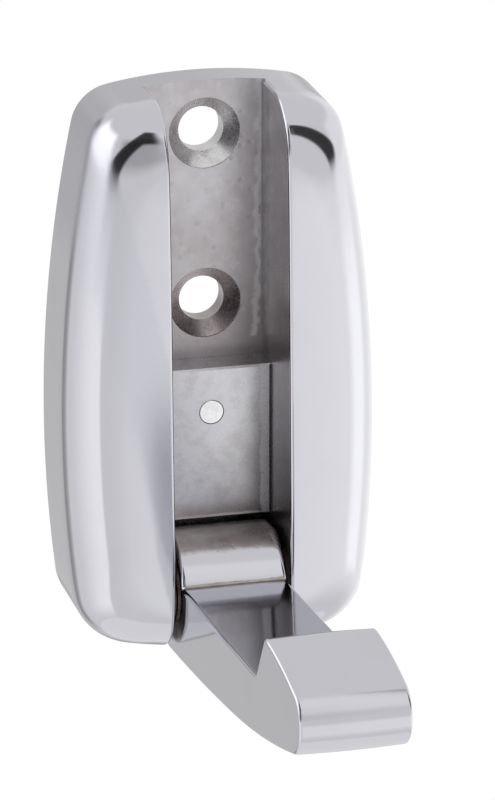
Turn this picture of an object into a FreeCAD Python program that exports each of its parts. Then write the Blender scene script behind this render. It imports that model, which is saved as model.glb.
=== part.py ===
"""Wall mounted clothes valet: a fold-down hook in a cast, polished housing.

Frame: +X to the viewer's right, +Y into the wall, +Z up, in millimetres.  The origin is the
middle of the housing's back face, so the wall is the plane y = 0 and depth is -y.  The hook is
modelled open, with its arm standing out from the wall.
"""
import FreeCAD
import Part
import math
import os

# Driving sizes: alias -> (value, what it is).  Lengths in mm, angles in degrees.
SIZES = {
    "housing_height": (70.0, "housing, top to bottom"),
    "housing_half_width": (19.3, "housing, widest half width"),
    "widest_level": (-7.0, "height at which the housing is widest"),
    "side_radius": (178.0, "barrel curve of the long sides"),
    "end_radius": (60.0, "curve of the top and bottom edges"),
    "top_corner": (5.5, "corner radius at the top of the outline"),
    "bottom_corner": (7.0, "corner radius at the bottom of the outline"),
    "corner_softening": (2.0, "how much the corners open up towards the front"),
    "flank_depth": (10.0, "depth of the straight flank before it rounds"),
    "edge_radius": (7.85, "rounding between the flank and the front"),
    "front_tilt": (1.9, "lean of the front, deeper at the bottom"),
    "channel_width": (14.4, "width of the full length channel"),
    "floor_thickness": (4.5, "metal between the wall and the channel floor"),
    "channel_edge_bevel": (0.35, "bevel on the channel's front edges"),
    "screw_hole": (5.6, "diameter of a mounting screw hole"),
    "screw_head": (8.9, "diameter of a countersink at the channel floor"),
    "screw_rim": (0.35, "straight rim at the mouth of a countersink"),
    "screw_angle": (90.0, "included angle of a countersink"),
    "upper_screw_drop": (6.75, "upper screw hole, from the top end down"),
    "screw_spacing": (21.5, "distance between the screw holes"),
    "core_wall": (3.0, "wall left round the cored pockets in the back"),
    "core_depth": (12.0, "depth of the cored pockets"),
    "core_top": (25.0, "height at which the pockets end"),
    "core_bottom": (-18.0, "height at which the pockets end below"),
    "core_corner": (1.2, "corner radius of the pockets"),
    "core_slot": (3.0, "least width of a pocket where it ends above"),
    "pivot_depth": (7.5, "hinge axis, from the channel floor"),
    "pivot_level": (8.0, "hinge axis, above the bottom end"),
    "pin_diameter": (4.0, "hinge pin"),
    "pin_seat": (4.0, "length of pin held in the left wall of the channel"),
    "pin_sink": (1.5, "how far the pin's end sits inside the right flank"),
    "pin_bevel": (0.4, "bevel of the pin's ends"),
    "seat_clearance": (0.02, "radial clearance of a seated pin or rivet"),
    "running_clearance": (0.05, "radial clearance of the arm on its pin, and beside a washer"),
    "arm_width": (13.2, "width of the hook arm"),
    "arm_rise": (5.5, "lift of the open arm above level"),
    "arm_edge_round": (0.6, "round on the arm's long edges"),
    "knuckle_radius": (7.35, "round of the knuckle about the pin"),
    "detent_flat": (7.0, "distance of the knuckle's two flats from the pin"),
    "knuckle_corner": (1.0, "round between the knuckle's round and its flats"),
    "root_round": (0.8, "hollow where the arm's upper face meets the knuckle"),
    "toe_round": (0.3, "round of the toe's corners"),
    "heel_radius": (8.1, "round of the heel under the pin"),
    "heel_drop": (3.5, "level of the heel's lower edge under the pin"),
    "heel_step": (2.6, "level of the step over the heel, under the pin"),
    "stop_gap": (0.05, "gap between the heel and the channel floor when open"),
    "arm_top": (1.1, "upper face of the arm above the pin's axis"),
    "arm_bottom": (8.0, "underside of the arm below the pin's axis"),
    "belly_length": (30.0, "nearly straight part of the underside"),
    "belly_rise": (0.8, "rise of the underside along it"),
    "sweep_length": (59.0, "distance at which the underside meets the tip"),
    "sweep_rise": (4.55, "rise of the underside up to the tip"),
    "sweep_bow": (0.55, "bow of the underside between them"),
    "valley_length": (42.4, "distance of the foot of the tip from the pin"),
    "valley_round": (1.2, "hollow at the foot of the tip"),
    "ridge_length": (46.9, "distance of the tip's ridge"),
    "ridge_height": (7.1, "height of the ridge"),
    "ridge_round": (1.1, "round of the ridge"),
    "nose_length": (62.2, "reach of the tip from the pin"),
    "nose_top": (3.7, "upper end of the tip's nose"),
    "nose_setback": (1.4, "how far the nose's upper end lies behind its middle"),
    "nose_round": (1.6, "round of the nose's two corners"),
    "face_bow": (0.5, "crown of the tip's outer face"),
    "block_length": (19.45, "spring block, top to bottom"),
    "block_bottom": (15.27, "block's underside, above the bottom end"),
    "block_thickness": (4.28, "height of the block above the floor"),
    "block_side_gap": (0.02, "gap beside the block"),
    "block_edge": (0.25, "chamfer round the block's face"),
    "rivet_diameter": (3.0, "rivet through the block"),
    "rivet_side": (-0.3, "rivet, distance from the middle"),
    "rivet_level": (29.1, "rivet, above the bottom end"),
    "rivet_tail": (4.8, "diameter of the closed end in the back"),
    "rivet_clearance": (0.06, "radial clearance of the block and the spring on the rivet"),
    "spring_width": (8.0, "leaf spring"),
    "spring_thickness": (0.5, "leaf spring"),
    "spring_gap": (0.03, "gap between the spring and what it touches"),
    "spring_top": (32.4, "upper end of the spring, above the bottom end"),
    "spring_bend": (14.8, "where the spring leaves the floor, above the bottom end"),
    "spring_ramp": (3.0, "height of the bend"),
    "spring_end": (6.0, "lower end of the spring, above the bottom end"),
    "spring_play": (0.6, "room for the spring to give behind its free end"),
    "groove_gap": (0.2, "gap round the spring in its groove"),
    "washer_diameter": (9.0, "thrust washer"),
    "washer_thickness": (0.5, "thrust washer"),
}

ROUNDING_STEPS = 6  # bands that make up the quarter turn of the housing's rounding

OVERRUN = 10.0  # how far a cut runs past the metal that it takes away
SAME = 0.01  # lengths and places closer than this count as equal

INTO_WALL = FreeCAD.Vector(0, 1, 0)
TO_RIGHT = FreeCAD.Vector(1, 0, 0)

doc = FreeCAD.newDocument("valet")
sheet = doc.addObject("Spreadsheet::Sheet", "Sizes")


def fill_sheet():
    """Write every driving size to the sheet, one named row each."""
    for row, (alias, (value, meaning)) in enumerate(SIZES.items(), start=1):
        sheet.set(f"A{row}", meaning)
        sheet.set(f"B{row}", str(value))
        sheet.setAlias(f"B{row}", alias)
    doc.recompute()


def size(alias):
    """Read one driving size back from the sheet."""
    return float(sheet.get(alias))


def level(alias):
    """A height that is given from the housing's bottom end, in the part's frame."""
    return size(alias) - size("housing_height") / 2


def at_level(alias):
    """The expression for a height that is given from the housing's bottom end."""
    return f"(Sizes.{alias} - Sizes.housing_height / 2)"


# ---------------------------------------------------------------- helpers

def origin_plane(body, role):
    """The origin plane of a body, by its role."""
    return next(item for item in body.Origin.OriginFeatures if item.Role == role)


def new_body(name):
    """An empty body whose label names its file."""
    body = doc.addObject("PartDesign::Body", name)
    body.Label = name
    return body


def new_sketch(body, name, role, edges, lift=None, lean=0.0):
    """A sketch on an origin plane, lifted off it and leaned about its own x axis."""
    sketch = body.newObject("Sketcher::SketchObject", name)
    sketch.AttachmentSupport = [(origin_plane(body, role), "")]
    sketch.MapMode = "FlatFace"
    turn = FreeCAD.Rotation(FreeCAD.Vector(1, 0, 0), lean)
    sketch.AttachmentOffset = FreeCAD.Placement(FreeCAD.Vector(), turn)
    if lift is not None:
        sketch.setExpression("AttachmentOffset.Base.z", lift)
    for edge in edges:
        sketch.addGeometry(edge, False)
    return sketch


def place(x, y):
    """A point in a sketch."""
    return FreeCAD.Vector(x, y, 0)


def line(start, end):
    """A straight sketch edge."""
    return Part.LineSegment(place(*start), place(*end))


def arc(start, middle, end):
    """A sketch arc through three points."""
    return Part.Arc(place(*start), place(*middle), place(*end))


def turned(spot, degrees):
    """A point turned about the origin."""
    angle = math.radians(degrees)
    x, y = spot
    return (x * math.cos(angle) - y * math.sin(angle), x * math.sin(angle) + y * math.cos(angle))


def polygon(spots):
    """Straight edges through the points and back to the first."""
    return [line(spot, spots[(i + 1) % len(spots)]) for i, spot in enumerate(spots)]


def pad(body, name, sketch, length, both_sides=False, reverse=False):
    """Pad a sketch by the length that an expression gives."""
    feature = body.newObject("PartDesign::Pad", name)
    feature.Profile = sketch
    feature.setExpression("Length", length)
    feature.Midplane = both_sides
    feature.Reversed = reverse
    doc.recompute()
    return feature


def pocket(body, name, sketch, length, reverse=False):
    """Cut a sketch into a body and make sure that metal came off."""
    before = body.Shape.Volume
    feature = body.newObject("PartDesign::Pocket", name)
    feature.Profile = sketch
    feature.setExpression("Length", length)
    feature.Reversed = reverse
    doc.recompute()
    check_cut(body, name, before)
    return feature


def primitive(body, kind, name, sizes, spot, axis=None):
    """A box, cylinder or cone of a body, with every size and place bound to the sheet."""
    before = body.Shape.Volume if body.Tip else 0.0
    feature = body.newObject(f"PartDesign::{kind}", name)
    if axis is not None:
        turn = FreeCAD.Rotation(FreeCAD.Vector(0, 0, 1), axis)
        feature.Placement = FreeCAD.Placement(FreeCAD.Vector(), turn)
    for field, expression in sizes.items():
        feature.setExpression(field, expression)
    for letter, expression in zip("xyz", spot):
        feature.setExpression(f"Placement.Base.{letter}", expression)
    doc.recompute()
    if kind.startswith("Subtractive"):
        check_cut(body, name, before)
    return feature


def check_cut(body, name, before):
    """Stop if a cut took nothing away."""
    if body.Shape.Volume > before - 1e-6:
        raise RuntimeError(f"{name} cut nothing from {body.Label}")


def round_edges(body, name, radius, chosen, kind="Fillet", field="Radius"):
    """Round or bevel the edges of the body's last feature that a test picks out."""
    base = body.Tip
    names = [f"Edge{i}" for i, edge in enumerate(base.Shape.Edges, start=1) if chosen(edge)]
    feature = body.newObject(f"PartDesign::{kind}", name)
    feature.Base = (base, names)
    feature.setExpression(field, radius)
    doc.recompute()
    return feature


# ---------------------------------------------------------------- housing

def corner_between(side_centre, side_radius, end_centre, end_radius, corner):
    """Ends and middle of the arc that rounds a side arc into an end arc, in the right half."""
    reach_side = side_radius - corner
    reach_end = end_radius - corner
    gap_x = end_centre[0] - side_centre[0]
    gap_z = end_centre[1] - side_centre[1]
    gap = math.hypot(gap_x, gap_z)
    along = (gap ** 2 + reach_side ** 2 - reach_end ** 2) / (2 * gap)
    across = math.sqrt(reach_side ** 2 - along ** 2)
    unit = (gap_x / gap, gap_z / gap)
    sign = 1 if end_centre[1] < side_centre[1] else -1
    centre = (side_centre[0] + unit[0] * along - sign * unit[1] * across,
              side_centre[1] + unit[1] * along + sign * unit[0] * across)
    on_side = reach_out(side_centre, centre, side_radius)
    on_end = reach_out(end_centre, centre, end_radius)
    halfway = ((on_side[0] + on_end[0]) / 2, (on_side[1] + on_end[1]) / 2)
    return on_side, reach_out(centre, halfway, corner), on_end


def reach_out(centre, towards, radius):
    """The point at a radius from a centre, in the direction of another point."""
    angle = math.atan2(towards[1] - centre[1], towards[0] - centre[0])
    return (centre[0] + radius * math.cos(angle), centre[1] + radius * math.sin(angle))


def mirrored(spot):
    """A point on the other side of the middle."""
    return (-spot[0], spot[1])


def barrel_outline(inset, softening=0.0):
    """The housing's outline, moved in by an inset and with its corners opened up."""
    half_height = size("housing_height") / 2
    side_radius = size("side_radius") - inset
    side_centre = (size("housing_half_width") - size("side_radius"), size("widest_level"))
    end_radius = size("end_radius") - inset
    top_centre = (0.0, half_height - size("end_radius"))
    bottom_centre = (0.0, size("end_radius") - half_height)
    top = corner_between(side_centre, side_radius, top_centre, end_radius,
                         size("top_corner") + softening)
    bottom = corner_between(side_centre, side_radius, bottom_centre, end_radius,
                            size("bottom_corner") + softening)
    side_middle = (side_centre[0] + side_radius, side_centre[1])
    top_middle = (0.0, half_height - inset)
    bottom_middle = (0.0, inset - half_height)
    return [
        arc(top[0], top[1], top[2]),
        arc(top[2], top_middle, mirrored(top[2])),
        arc(mirrored(top[2]), mirrored(top[1]), mirrored(top[0])),
        arc(mirrored(top[0]), mirrored(side_middle), mirrored(bottom[0])),
        arc(mirrored(bottom[0]), mirrored(bottom[1]), mirrored(bottom[2])),
        arc(mirrored(bottom[2]), bottom_middle, bottom[2]),
        arc(bottom[2], bottom[1], bottom[0]),
        arc(bottom[0], side_middle, top[0]),
    ]


def rounding_sections():
    """Share of the rounding's inset and of its depth at each section, flank to front."""
    for step in range(ROUNDING_STEPS + 1):
        turn = math.pi / 2 * step / ROUNDING_STEPS
        yield 1 - math.cos(turn), math.sin(turn)


def channel_edge(edge):
    """Is an edge where a channel wall meets the polished front?"""
    box = edge.BoundBox
    half = size("channel_width") / 2
    on_wall = box.XLength < SAME and abs(abs(box.Center.x) - half) < SAME
    at_floor = box.YMax > -size("floor_thickness") - SAME and box.YLength < SAME
    behind_floor = box.YMin > -size("floor_thickness") - SAME
    at_end = box.ZLength < SAME
    bore = abs(box.YLength - box.ZLength) < SAME
    return on_wall and not (at_floor or behind_floor or at_end or bore)


def make_housing():
    """The cast housing: a crowned barrel with a full length channel, holes and cored back."""
    body = new_body("housing")
    flank = new_sketch(body, "flank_outline", "XZ_Plane", barrel_outline(0.0))
    pad(body, "flank", flank, "Sizes.flank_depth")
    sketches = []
    for index, (inset, depth) in enumerate(rounding_sections()):
        outline = barrel_outline(size("edge_radius") * inset, size("corner_softening") * inset)
        sketch = new_sketch(body, f"front_section_{index}", "XZ_Plane", outline,
                            f"Sizes.flank_depth + Sizes.edge_radius * {depth}",
                            -size("front_tilt") * depth)
        sketches.append(sketch)
    doc.recompute()
    front = body.newObject("PartDesign::AdditiveLoft", "front")
    front.Profile = sketches[0]
    front.Sections = [(sketch, [""]) for sketch in sketches[1:]]
    front.Ruled = True
    doc.recompute()
    cut_channel(body)
    cut_screw_holes(body)
    cut_hinge_bore(body)
    cut_spring_groove(body)
    cut_rivet_hole(body)
    cut_cores(body)
    round_edges(body, "channel_edges", "Sizes.channel_edge_bevel", channel_edge, "Chamfer", "Size")
    return body


def cut_channel(body):
    """The channel, open in front and at both ends."""
    front = f"Sizes.flank_depth + Sizes.edge_radius + {OVERRUN}"
    primitive(body, "SubtractiveBox", "channel", {
        "Length": "Sizes.channel_width",
        "Width": f"{front} - Sizes.floor_thickness",
        "Height": f"Sizes.housing_height + {2 * OVERRUN}",
    }, (
        "-Sizes.channel_width / 2",
        f"-({front})",
        f"-Sizes.housing_height / 2 - {OVERRUN}",
    ))


def cut_screw_holes(body):
    """Two countersunk holes in the channel floor."""
    upper = "Sizes.housing_height / 2 - Sizes.upper_screw_drop"
    levels = (upper, f"{upper} - Sizes.screw_spacing")
    floor = "-Sizes.floor_thickness"
    slope = "tan(Sizes.screw_angle * 1deg / 2)"
    cone = f"(Sizes.screw_head - Sizes.screw_hole) / 2 / {slope}"
    for index, level in enumerate(levels):
        primitive(body, "SubtractiveCylinder", f"screw_hole_{index}",
                  {"Radius": "Sizes.screw_hole / 2",
                   "Height": f"Sizes.floor_thickness + {2 * OVERRUN}"},
                  ("0", f"{floor} - {OVERRUN}", level), INTO_WALL)
        primitive(body, "SubtractiveCone", f"screw_seat_{index}",
                  {"Radius1": "Sizes.screw_head / 2", "Radius2": "Sizes.screw_hole / 2",
                   "Height": cone},
                  ("0", f"{floor} + Sizes.screw_rim", level), INTO_WALL)
        primitive(body, "SubtractiveCylinder", f"screw_rim_{index}",
                  {"Radius": "Sizes.screw_head / 2", "Height": f"Sizes.screw_rim + {OVERRUN}"},
                  ("0", f"{floor} - {OVERRUN}", level), INTO_WALL)


def cut_hinge_bore(body):
    """The pin's bore, in from the right flank and blind in the left wall."""
    primitive(body, "SubtractiveCylinder", "hinge_bore",
              {"Radius": "Sizes.pin_diameter / 2 + Sizes.seat_clearance",
               "Height": "Sizes.pin_seat + Sizes.channel_width / 2 + Sizes.housing_half_width"},
              ("-Sizes.channel_width / 2 - Sizes.pin_seat",
               "-Sizes.floor_thickness - Sizes.pivot_depth", at_level("pivot_level")), TO_RIGHT)


def cut_spring_groove(body):
    """The groove that holds the leaf spring, deeper behind its free end."""
    width = "Sizes.spring_width + Sizes.groove_gap * 2"
    left = "-Sizes.spring_width / 2 - Sizes.groove_gap"
    low = f"{at_level('spring_end')} - Sizes.groove_gap"
    seat = "Sizes.spring_thickness + Sizes.spring_gap * 2"
    primitive(body, "SubtractiveBox", "spring_seat",
              {"Length": width, "Width": f"{seat} + {OVERRUN}",
               "Height": f"{at_level('spring_top')} + Sizes.groove_gap - ({low})"},
              (left, f"-Sizes.floor_thickness - {OVERRUN}", low))
    primitive(body, "SubtractiveBox", "spring_room",
              {"Length": width,
               "Width": f"Sizes.spring_thickness + Sizes.spring_play + {OVERRUN}",
               "Height": f"{at_level('spring_bend')} - ({low})"},
              (left, f"-Sizes.floor_thickness - {OVERRUN}", low))


def cut_rivet_hole(body):
    """The rivet's hole through the floor, flared at the back for its closed end."""
    radius = "Sizes.rivet_diameter / 2 + Sizes.seat_clearance"
    flare = "(Sizes.rivet_tail - Sizes.rivet_diameter) / 2"
    primitive(body, "SubtractiveCylinder", "rivet_hole",
              {"Radius": radius, "Height": f"Sizes.floor_thickness + {2 * OVERRUN}"},
              ("Sizes.rivet_side", f"-Sizes.floor_thickness - {OVERRUN}", at_level("rivet_level")),
              INTO_WALL)
    primitive(body, "SubtractiveCone", "rivet_flare",
              {"Radius1": radius, "Radius2": "Sizes.rivet_tail / 2 + Sizes.seat_clearance",
               "Height": flare},
              ("Sizes.rivet_side", f"-({flare})", at_level("rivet_level")), INTO_WALL)


def cut_cores(body):
    """The pocket cored into the back of each side."""
    inner = size("channel_width") / 2 + size("core_wall")
    inset = size("core_wall")
    outer_radius = size("side_radius") - inset
    centre_x = size("housing_half_width") - size("side_radius")

    def outer(level):
        rise = level - size("widest_level")
        return centre_x + math.sqrt(outer_radius ** 2 - rise ** 2)

    slot_reach = inner + size("core_slot") - centre_x
    slot_rise = math.sqrt(max(0.0, outer_radius ** 2 - slot_reach ** 2))
    top = min(size("core_top"), size("widest_level") + slot_rise)
    low = size("core_bottom")
    middle = (top + low) / 2
    for name, side in (("left_core", -1), ("right_core", 1)):
        edges = [
            line((side * inner, low), (side * outer(low), low)),
            arc((side * outer(low), low), (side * outer(middle), middle), (side * outer(top), top)),
            line((side * outer(top), top), (side * inner, top)),
            line((side * inner, top), (side * inner, low)),
        ]
        sketch = new_sketch(body, f"{name}_outline", "XZ_Plane", edges)
        pocket(body, name, sketch, "Sizes.core_depth", reverse=True)
    round_edges(body, "core_corners", "Sizes.core_corner", core_corner)


def core_corner(edge):
    """Is an edge one of the upright corners of a cored pocket?"""
    box = edge.BoundBox
    deep = abs(box.YLength - size("core_depth")) < SAME
    beside_channel = abs(box.Center.x) > size("channel_width") / 2
    return deep and box.XLength < SAME and box.ZLength < SAME and beside_channel


# ---------------------------------------------------------------- hook arm

def arm_place(along, above):
    """A point of the arm, from the pin's axis, in the side view of the open arm."""
    return side_place(turned((along, above), size("arm_rise")))


def side_place(spot):
    """A point given outward and upward from the pin's axis, in the sketch on the YZ plane."""
    outward, upward = spot
    return (-size("floor_thickness") - size("pivot_depth") - outward,
            level("pivot_level") + upward)


def on_round(radius, across):
    """Height of a circle about the pin, at a distance across it."""
    return math.sqrt(radius ** 2 - across ** 2)


def arm_profile():
    """Side view of the open arm: knuckle with its two flats, heel, belly, tip and upper face."""
    knuckle = size("knuckle_radius")
    flat = size("detent_flat")
    half_flat = on_round(knuckle, flat)
    top = size("arm_top")
    heel = size("heel_radius")
    toe = size("pivot_depth") - size("stop_gap")
    toe_corner = (-toe, -size("heel_drop"))
    underside = turned((0.0, -size("arm_bottom")), size("arm_rise"))
    heel_middle_angle = (math.degrees(math.atan2(toe_corner[1], toe_corner[0])) - 90.0) / 2
    heel_middle = turned((heel, 0.0), heel_middle_angle)
    front_angle = math.degrees(math.atan2(top, on_round(knuckle, top)))
    flat_end_angle = math.degrees(math.atan2(flat, half_flat))
    front_middle = turned((knuckle, 0.0), (front_angle + flat_end_angle) / 2)
    back_start = turned((-half_flat, flat), size("arm_rise"))
    back_end = (-flat, half_flat)
    back_middle = reach_out((0.0, 0.0), ((back_start[0] + back_end[0]) / 2,
                                         (back_start[1] + back_end[1]) / 2), knuckle)
    belly = -size("arm_bottom") + size("belly_rise")
    sweep = -size("arm_bottom") + size("sweep_rise")
    sweep_middle = ((size("belly_length") + size("sweep_length")) / 2,
                    (belly + sweep) / 2 - size("sweep_bow"))
    nose_middle = (size("nose_length"), (sweep + size("nose_top")) / 2)
    nose_top = (size("nose_length") - size("nose_setback"), size("nose_top"))
    ridge = (size("ridge_length"), size("ridge_height"))
    face_middle = ((ridge[0] + nose_top[0]) / 2, (ridge[1] + nose_top[1]) / 2 + size("face_bow"))
    return [
        arc(arm_place(on_round(knuckle, top), top), arm_place(*front_middle),
            arm_place(half_flat, flat)),
        line(arm_place(half_flat, flat), arm_place(-half_flat, flat)),
        arc(arm_place(-half_flat, flat), side_place(back_middle), side_place(back_end)),
        line(side_place(back_end), side_place((-flat, -size("heel_step") + toe - flat))),
        line(side_place((-flat, -size("heel_step") + toe - flat)),
             side_place((-toe, -size("heel_step")))),
        line(side_place((-toe, -size("heel_step"))), side_place(toe_corner)),
        arc(side_place(toe_corner), side_place(heel_middle), side_place(underside)),
        arc(side_place(underside), arm_place(size("belly_length") / 2,
            -size("arm_bottom") + size("belly_rise") / 4), arm_place(size("belly_length"), belly)),
        arc(arm_place(size("belly_length"), belly), arm_place(*sweep_middle),
            arm_place(size("sweep_length"), sweep)),
        arc(arm_place(size("sweep_length"), sweep), arm_place(*nose_middle), arm_place(*nose_top)),
        arc(arm_place(*nose_top), arm_place(*face_middle), arm_place(*ridge)),
        line(arm_place(*ridge), arm_place(size("valley_length"), top)),
        line(arm_place(size("valley_length"), top), arm_place(on_round(knuckle, top), top)),
    ]


def make_arm():
    """The cast hook arm, with its knuckle and upturned tip."""
    body = new_body("hook_arm")
    sketch = new_sketch(body, "arm_side_view", "YZ_Plane", arm_profile())
    pad(body, "arm_blank", sketch, "Sizes.arm_width", both_sides=True)
    primitive(body, "SubtractiveCylinder", "arm_bore",
              {"Radius": "Sizes.pin_diameter / 2 + Sizes.running_clearance",
               "Height": f"Sizes.arm_width + {2 * OVERRUN}"},
              (f"-Sizes.arm_width / 2 - {OVERRUN}", "-Sizes.floor_thickness - Sizes.pivot_depth",
               at_level("pivot_level")), TO_RIGHT)
    round_edges(body, "tip_ridge", "Sizes.ridge_round", across_at("ridge_length", "ridge_height"))
    round_edges(body, "tip_valley", "Sizes.valley_round", across_at("valley_length", "arm_top"))
    round_edges(body, "nose_rounds", "Sizes.nose_round", nose_edge)
    round_edges(body, "knuckle_corners", "Sizes.knuckle_corner", knuckle_corner)
    round_edges(body, "arm_root", "Sizes.root_round", root_edge)
    round_edges(body, "toe_corners", "Sizes.toe_round", toe_edge)
    round_edges(body, "arm_edges", "Sizes.arm_edge_round", arm_long_edge)
    return body


def nose_edge(edge):
    """Is an edge the upper or lower corner of the tip's nose?"""
    upper = arm_place(size("nose_length") - size("nose_setback"), size("nose_top"))
    lower = arm_place(size("sweep_length"), size("sweep_rise") - size("arm_bottom"))
    return crossing(upper)(edge) or crossing(lower)(edge)


def knuckle_corner(edge):
    """Is an edge where the knuckle's round meets one of its flats?"""
    flat = size("detent_flat")
    half_flat = on_round(size("knuckle_radius"), flat)
    corners = (arm_place(half_flat, flat), arm_place(-half_flat, flat),
               side_place((-flat, half_flat)))
    return any(crossing(corner)(edge) for corner in corners)


def root_edge(edge):
    """Is an edge where the arm's upper face meets the knuckle?"""
    top = size("arm_top")
    return crossing(arm_place(on_round(size("knuckle_radius"), top), top))(edge)


def toe_edge(edge):
    """Is an edge the upper or lower corner of the heel's toe, which meets the channel floor?"""
    toe = size("pivot_depth") - size("stop_gap")
    corners = (side_place((-toe, -size("heel_step"))), side_place((-toe, -size("heel_drop"))))
    return any(crossing(corner)(edge) for corner in corners)


def across_at(length_name, height_name):
    """A test for the edge that crosses the arm at a named point of its side view."""
    return crossing(arm_place(size(length_name), size(height_name)))


def crossing(spot):
    """A test for the edge that crosses the arm at a point of its side view."""
    y, z = spot

    def crosses(edge):
        box = edge.BoundBox
        across = abs(box.XLength - size("arm_width")) < SAME
        return across and math.hypot(box.Center.y - y, box.Center.z - z) < SAME

    return crosses


def arm_long_edge(edge):
    """Is an edge on the outline of the arm's left or right face?"""
    box = edge.BoundBox
    on_face = box.XLength < SAME and abs(abs(box.Center.x) - size("arm_width") / 2) < SAME
    bore = abs(box.YLength - box.ZLength) < SAME and abs(box.Center.z - level("pivot_level")) < SAME
    return on_face and not bore


# ---------------------------------------------------------------- pin, washers, block, rivet, spring

def make_pin():
    """The hinge pin, seated in both channel walls."""
    body = new_body("hinge_pin")
    primitive(body, "AdditiveCylinder", "pin_blank",
              {"Radius": "Sizes.pin_diameter / 2", "Height": pin_length()},
              ("-Sizes.channel_width / 2 - Sizes.pin_seat + Sizes.seat_clearance",
               "-Sizes.floor_thickness - Sizes.pivot_depth", at_level("pivot_level")), TO_RIGHT)
    round_edges(body, "pin_ends", "Sizes.pin_bevel",
                lambda edge: edge.BoundBox.XLength < SAME, "Chamfer", "Size")
    return body


def pin_length():
    """Length of the pin, from its blind end to just inside the right flank."""
    drop = f"(Sizes.widest_level - {at_level('pivot_level')})"
    flank = f"Sizes.housing_half_width - {drop} ^ 2 / (2 * Sizes.side_radius)"
    return f"{flank} - Sizes.pin_sink + Sizes.channel_width / 2 + Sizes.pin_seat"


def make_washer(name, side):
    """A thrust washer between the knuckle and a channel wall."""
    body = new_body(name)
    gap = "Sizes.running_clearance"
    inner = "Sizes.arm_width / 2 + Sizes.running_clearance"
    start = inner if side > 0 else f"-({inner}) - Sizes.washer_thickness"
    spot = (start, "-Sizes.floor_thickness - Sizes.pivot_depth", at_level("pivot_level"))
    primitive(body, "AdditiveCylinder", f"{name}_disc",
              {"Radius": "Sizes.washer_diameter / 2", "Height": "Sizes.washer_thickness"},
              spot, TO_RIGHT)
    primitive(body, "SubtractiveCylinder", f"{name}_hole",
              {"Radius": f"Sizes.pin_diameter / 2 + {gap}", "Height": "Sizes.washer_thickness"},
              spot, TO_RIGHT)
    return body


def make_block():
    """The spring block, riveted to the channel floor over the fixed end of the spring."""
    body = new_body("spring_block")
    half = "Sizes.channel_width / 2 - Sizes.block_side_gap"
    primitive(body, "AdditiveBox", "block_blank",
              {"Length": f"({half}) * 2",
               "Width": "Sizes.block_thickness - Sizes.spring_gap",
               "Height": "Sizes.block_length"},
              (f"-({half})", "-Sizes.floor_thickness - Sizes.block_thickness",
               at_level("block_bottom")))
    primitive(body, "SubtractiveCylinder", "block_hole",
              {"Radius": "Sizes.rivet_diameter / 2 + Sizes.rivet_clearance",
               "Height": f"Sizes.block_thickness + {2 * OVERRUN}"},
              ("Sizes.rivet_side",
               f"-Sizes.floor_thickness - Sizes.block_thickness - {OVERRUN}",
               at_level("rivet_level")), INTO_WALL)
    round_edges(body, "block_edges", "Sizes.block_edge", block_face_edge, "Chamfer", "Size")
    return body


def block_face_edge(edge):
    """Is an edge a straight one round the block's face?"""
    box = edge.BoundBox
    face = -size("floor_thickness") - size("block_thickness")
    on_face = box.YLength < SAME and abs(box.YMin - face) < SAME
    return on_face and (box.XLength < SAME or box.ZLength < SAME)


def make_rivet():
    """The rivet: a plain shank, flush with the block, closed into a flare in the back."""
    body = new_body("block_rivet")
    flare = "(Sizes.rivet_tail - Sizes.rivet_diameter) / 2"
    primitive(body, "AdditiveCylinder", "rivet_shank",
              {"Radius": "Sizes.rivet_diameter / 2",
               "Height": "Sizes.floor_thickness + Sizes.block_thickness - Sizes.seat_clearance"},
              ("Sizes.rivet_side", "-Sizes.floor_thickness - Sizes.block_thickness",
               at_level("rivet_level")), INTO_WALL)
    primitive(body, "AdditiveCone", "rivet_flare_end",
              {"Radius1": "Sizes.rivet_diameter / 2", "Radius2": "Sizes.rivet_tail / 2",
               "Height": flare},
              ("Sizes.rivet_side", f"-({flare}) - Sizes.seat_clearance", at_level("rivet_level")),
              INTO_WALL)
    return body


def make_spring():
    """The leaf spring: clamped under the block, bent out to the knuckle's flat."""
    body = new_body("detent_spring")
    thick = size("spring_thickness")
    gap = size("spring_gap")
    floor = -size("floor_thickness")
    seat = floor + gap
    press = floor - (size("pivot_depth") - size("detent_flat")) + gap
    top, bend, end = level("spring_top"), level("spring_bend"), level("spring_end")
    ramp_end = bend - size("spring_ramp")
    spots = [(seat, top), (seat, bend), (press, ramp_end), (press, end),
             (press + thick, end), (press + thick, ramp_end), (seat + thick, bend),
             (seat + thick, top)]
    sketch = new_sketch(body, "spring_side_view", "YZ_Plane", polygon(spots))
    pad(body, "leaf", sketch, "Sizes.spring_width", both_sides=True)
    primitive(body, "SubtractiveCylinder", "spring_hole",
              {"Radius": "Sizes.rivet_diameter / 2 + Sizes.rivet_clearance",
               "Height": f"Sizes.spring_thickness + {2 * OVERRUN}"},
              ("Sizes.rivet_side", f"-Sizes.floor_thickness - {OVERRUN}", at_level("rivet_level")),
              INTO_WALL)
    return body


# ---------------------------------------------------------------- checks and files

def check_document():
    """Stop if any object failed to compute."""
    for item in doc.Objects:
        if "Invalid" in item.State or "Error" in item.State:
            raise RuntimeError(f"{item.Name} did not compute: {item.State}")


def write_parts(bodies):
    """Check every sub-part and write it to its own file."""
    os.makedirs("parts", exist_ok=True)
    for body in bodies:
        shape = body.Shape
        if shape.isNull() or not shape.isValid():
            raise RuntimeError(f"{body.Label} has no valid shape")
        if len(shape.Solids) != 1:
            raise RuntimeError(f"{body.Label} has {len(shape.Solids)} solids")
        shape.exportStep(os.path.join("parts", f"{body.Label}.step"))
        print(body.Label, round(shape.Volume, 2), [round(v, 2) for v in (
            shape.BoundBox.XMin, shape.BoundBox.XMax, shape.BoundBox.YMin, shape.BoundBox.YMax,
            shape.BoundBox.ZMin, shape.BoundBox.ZMax)])


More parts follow.
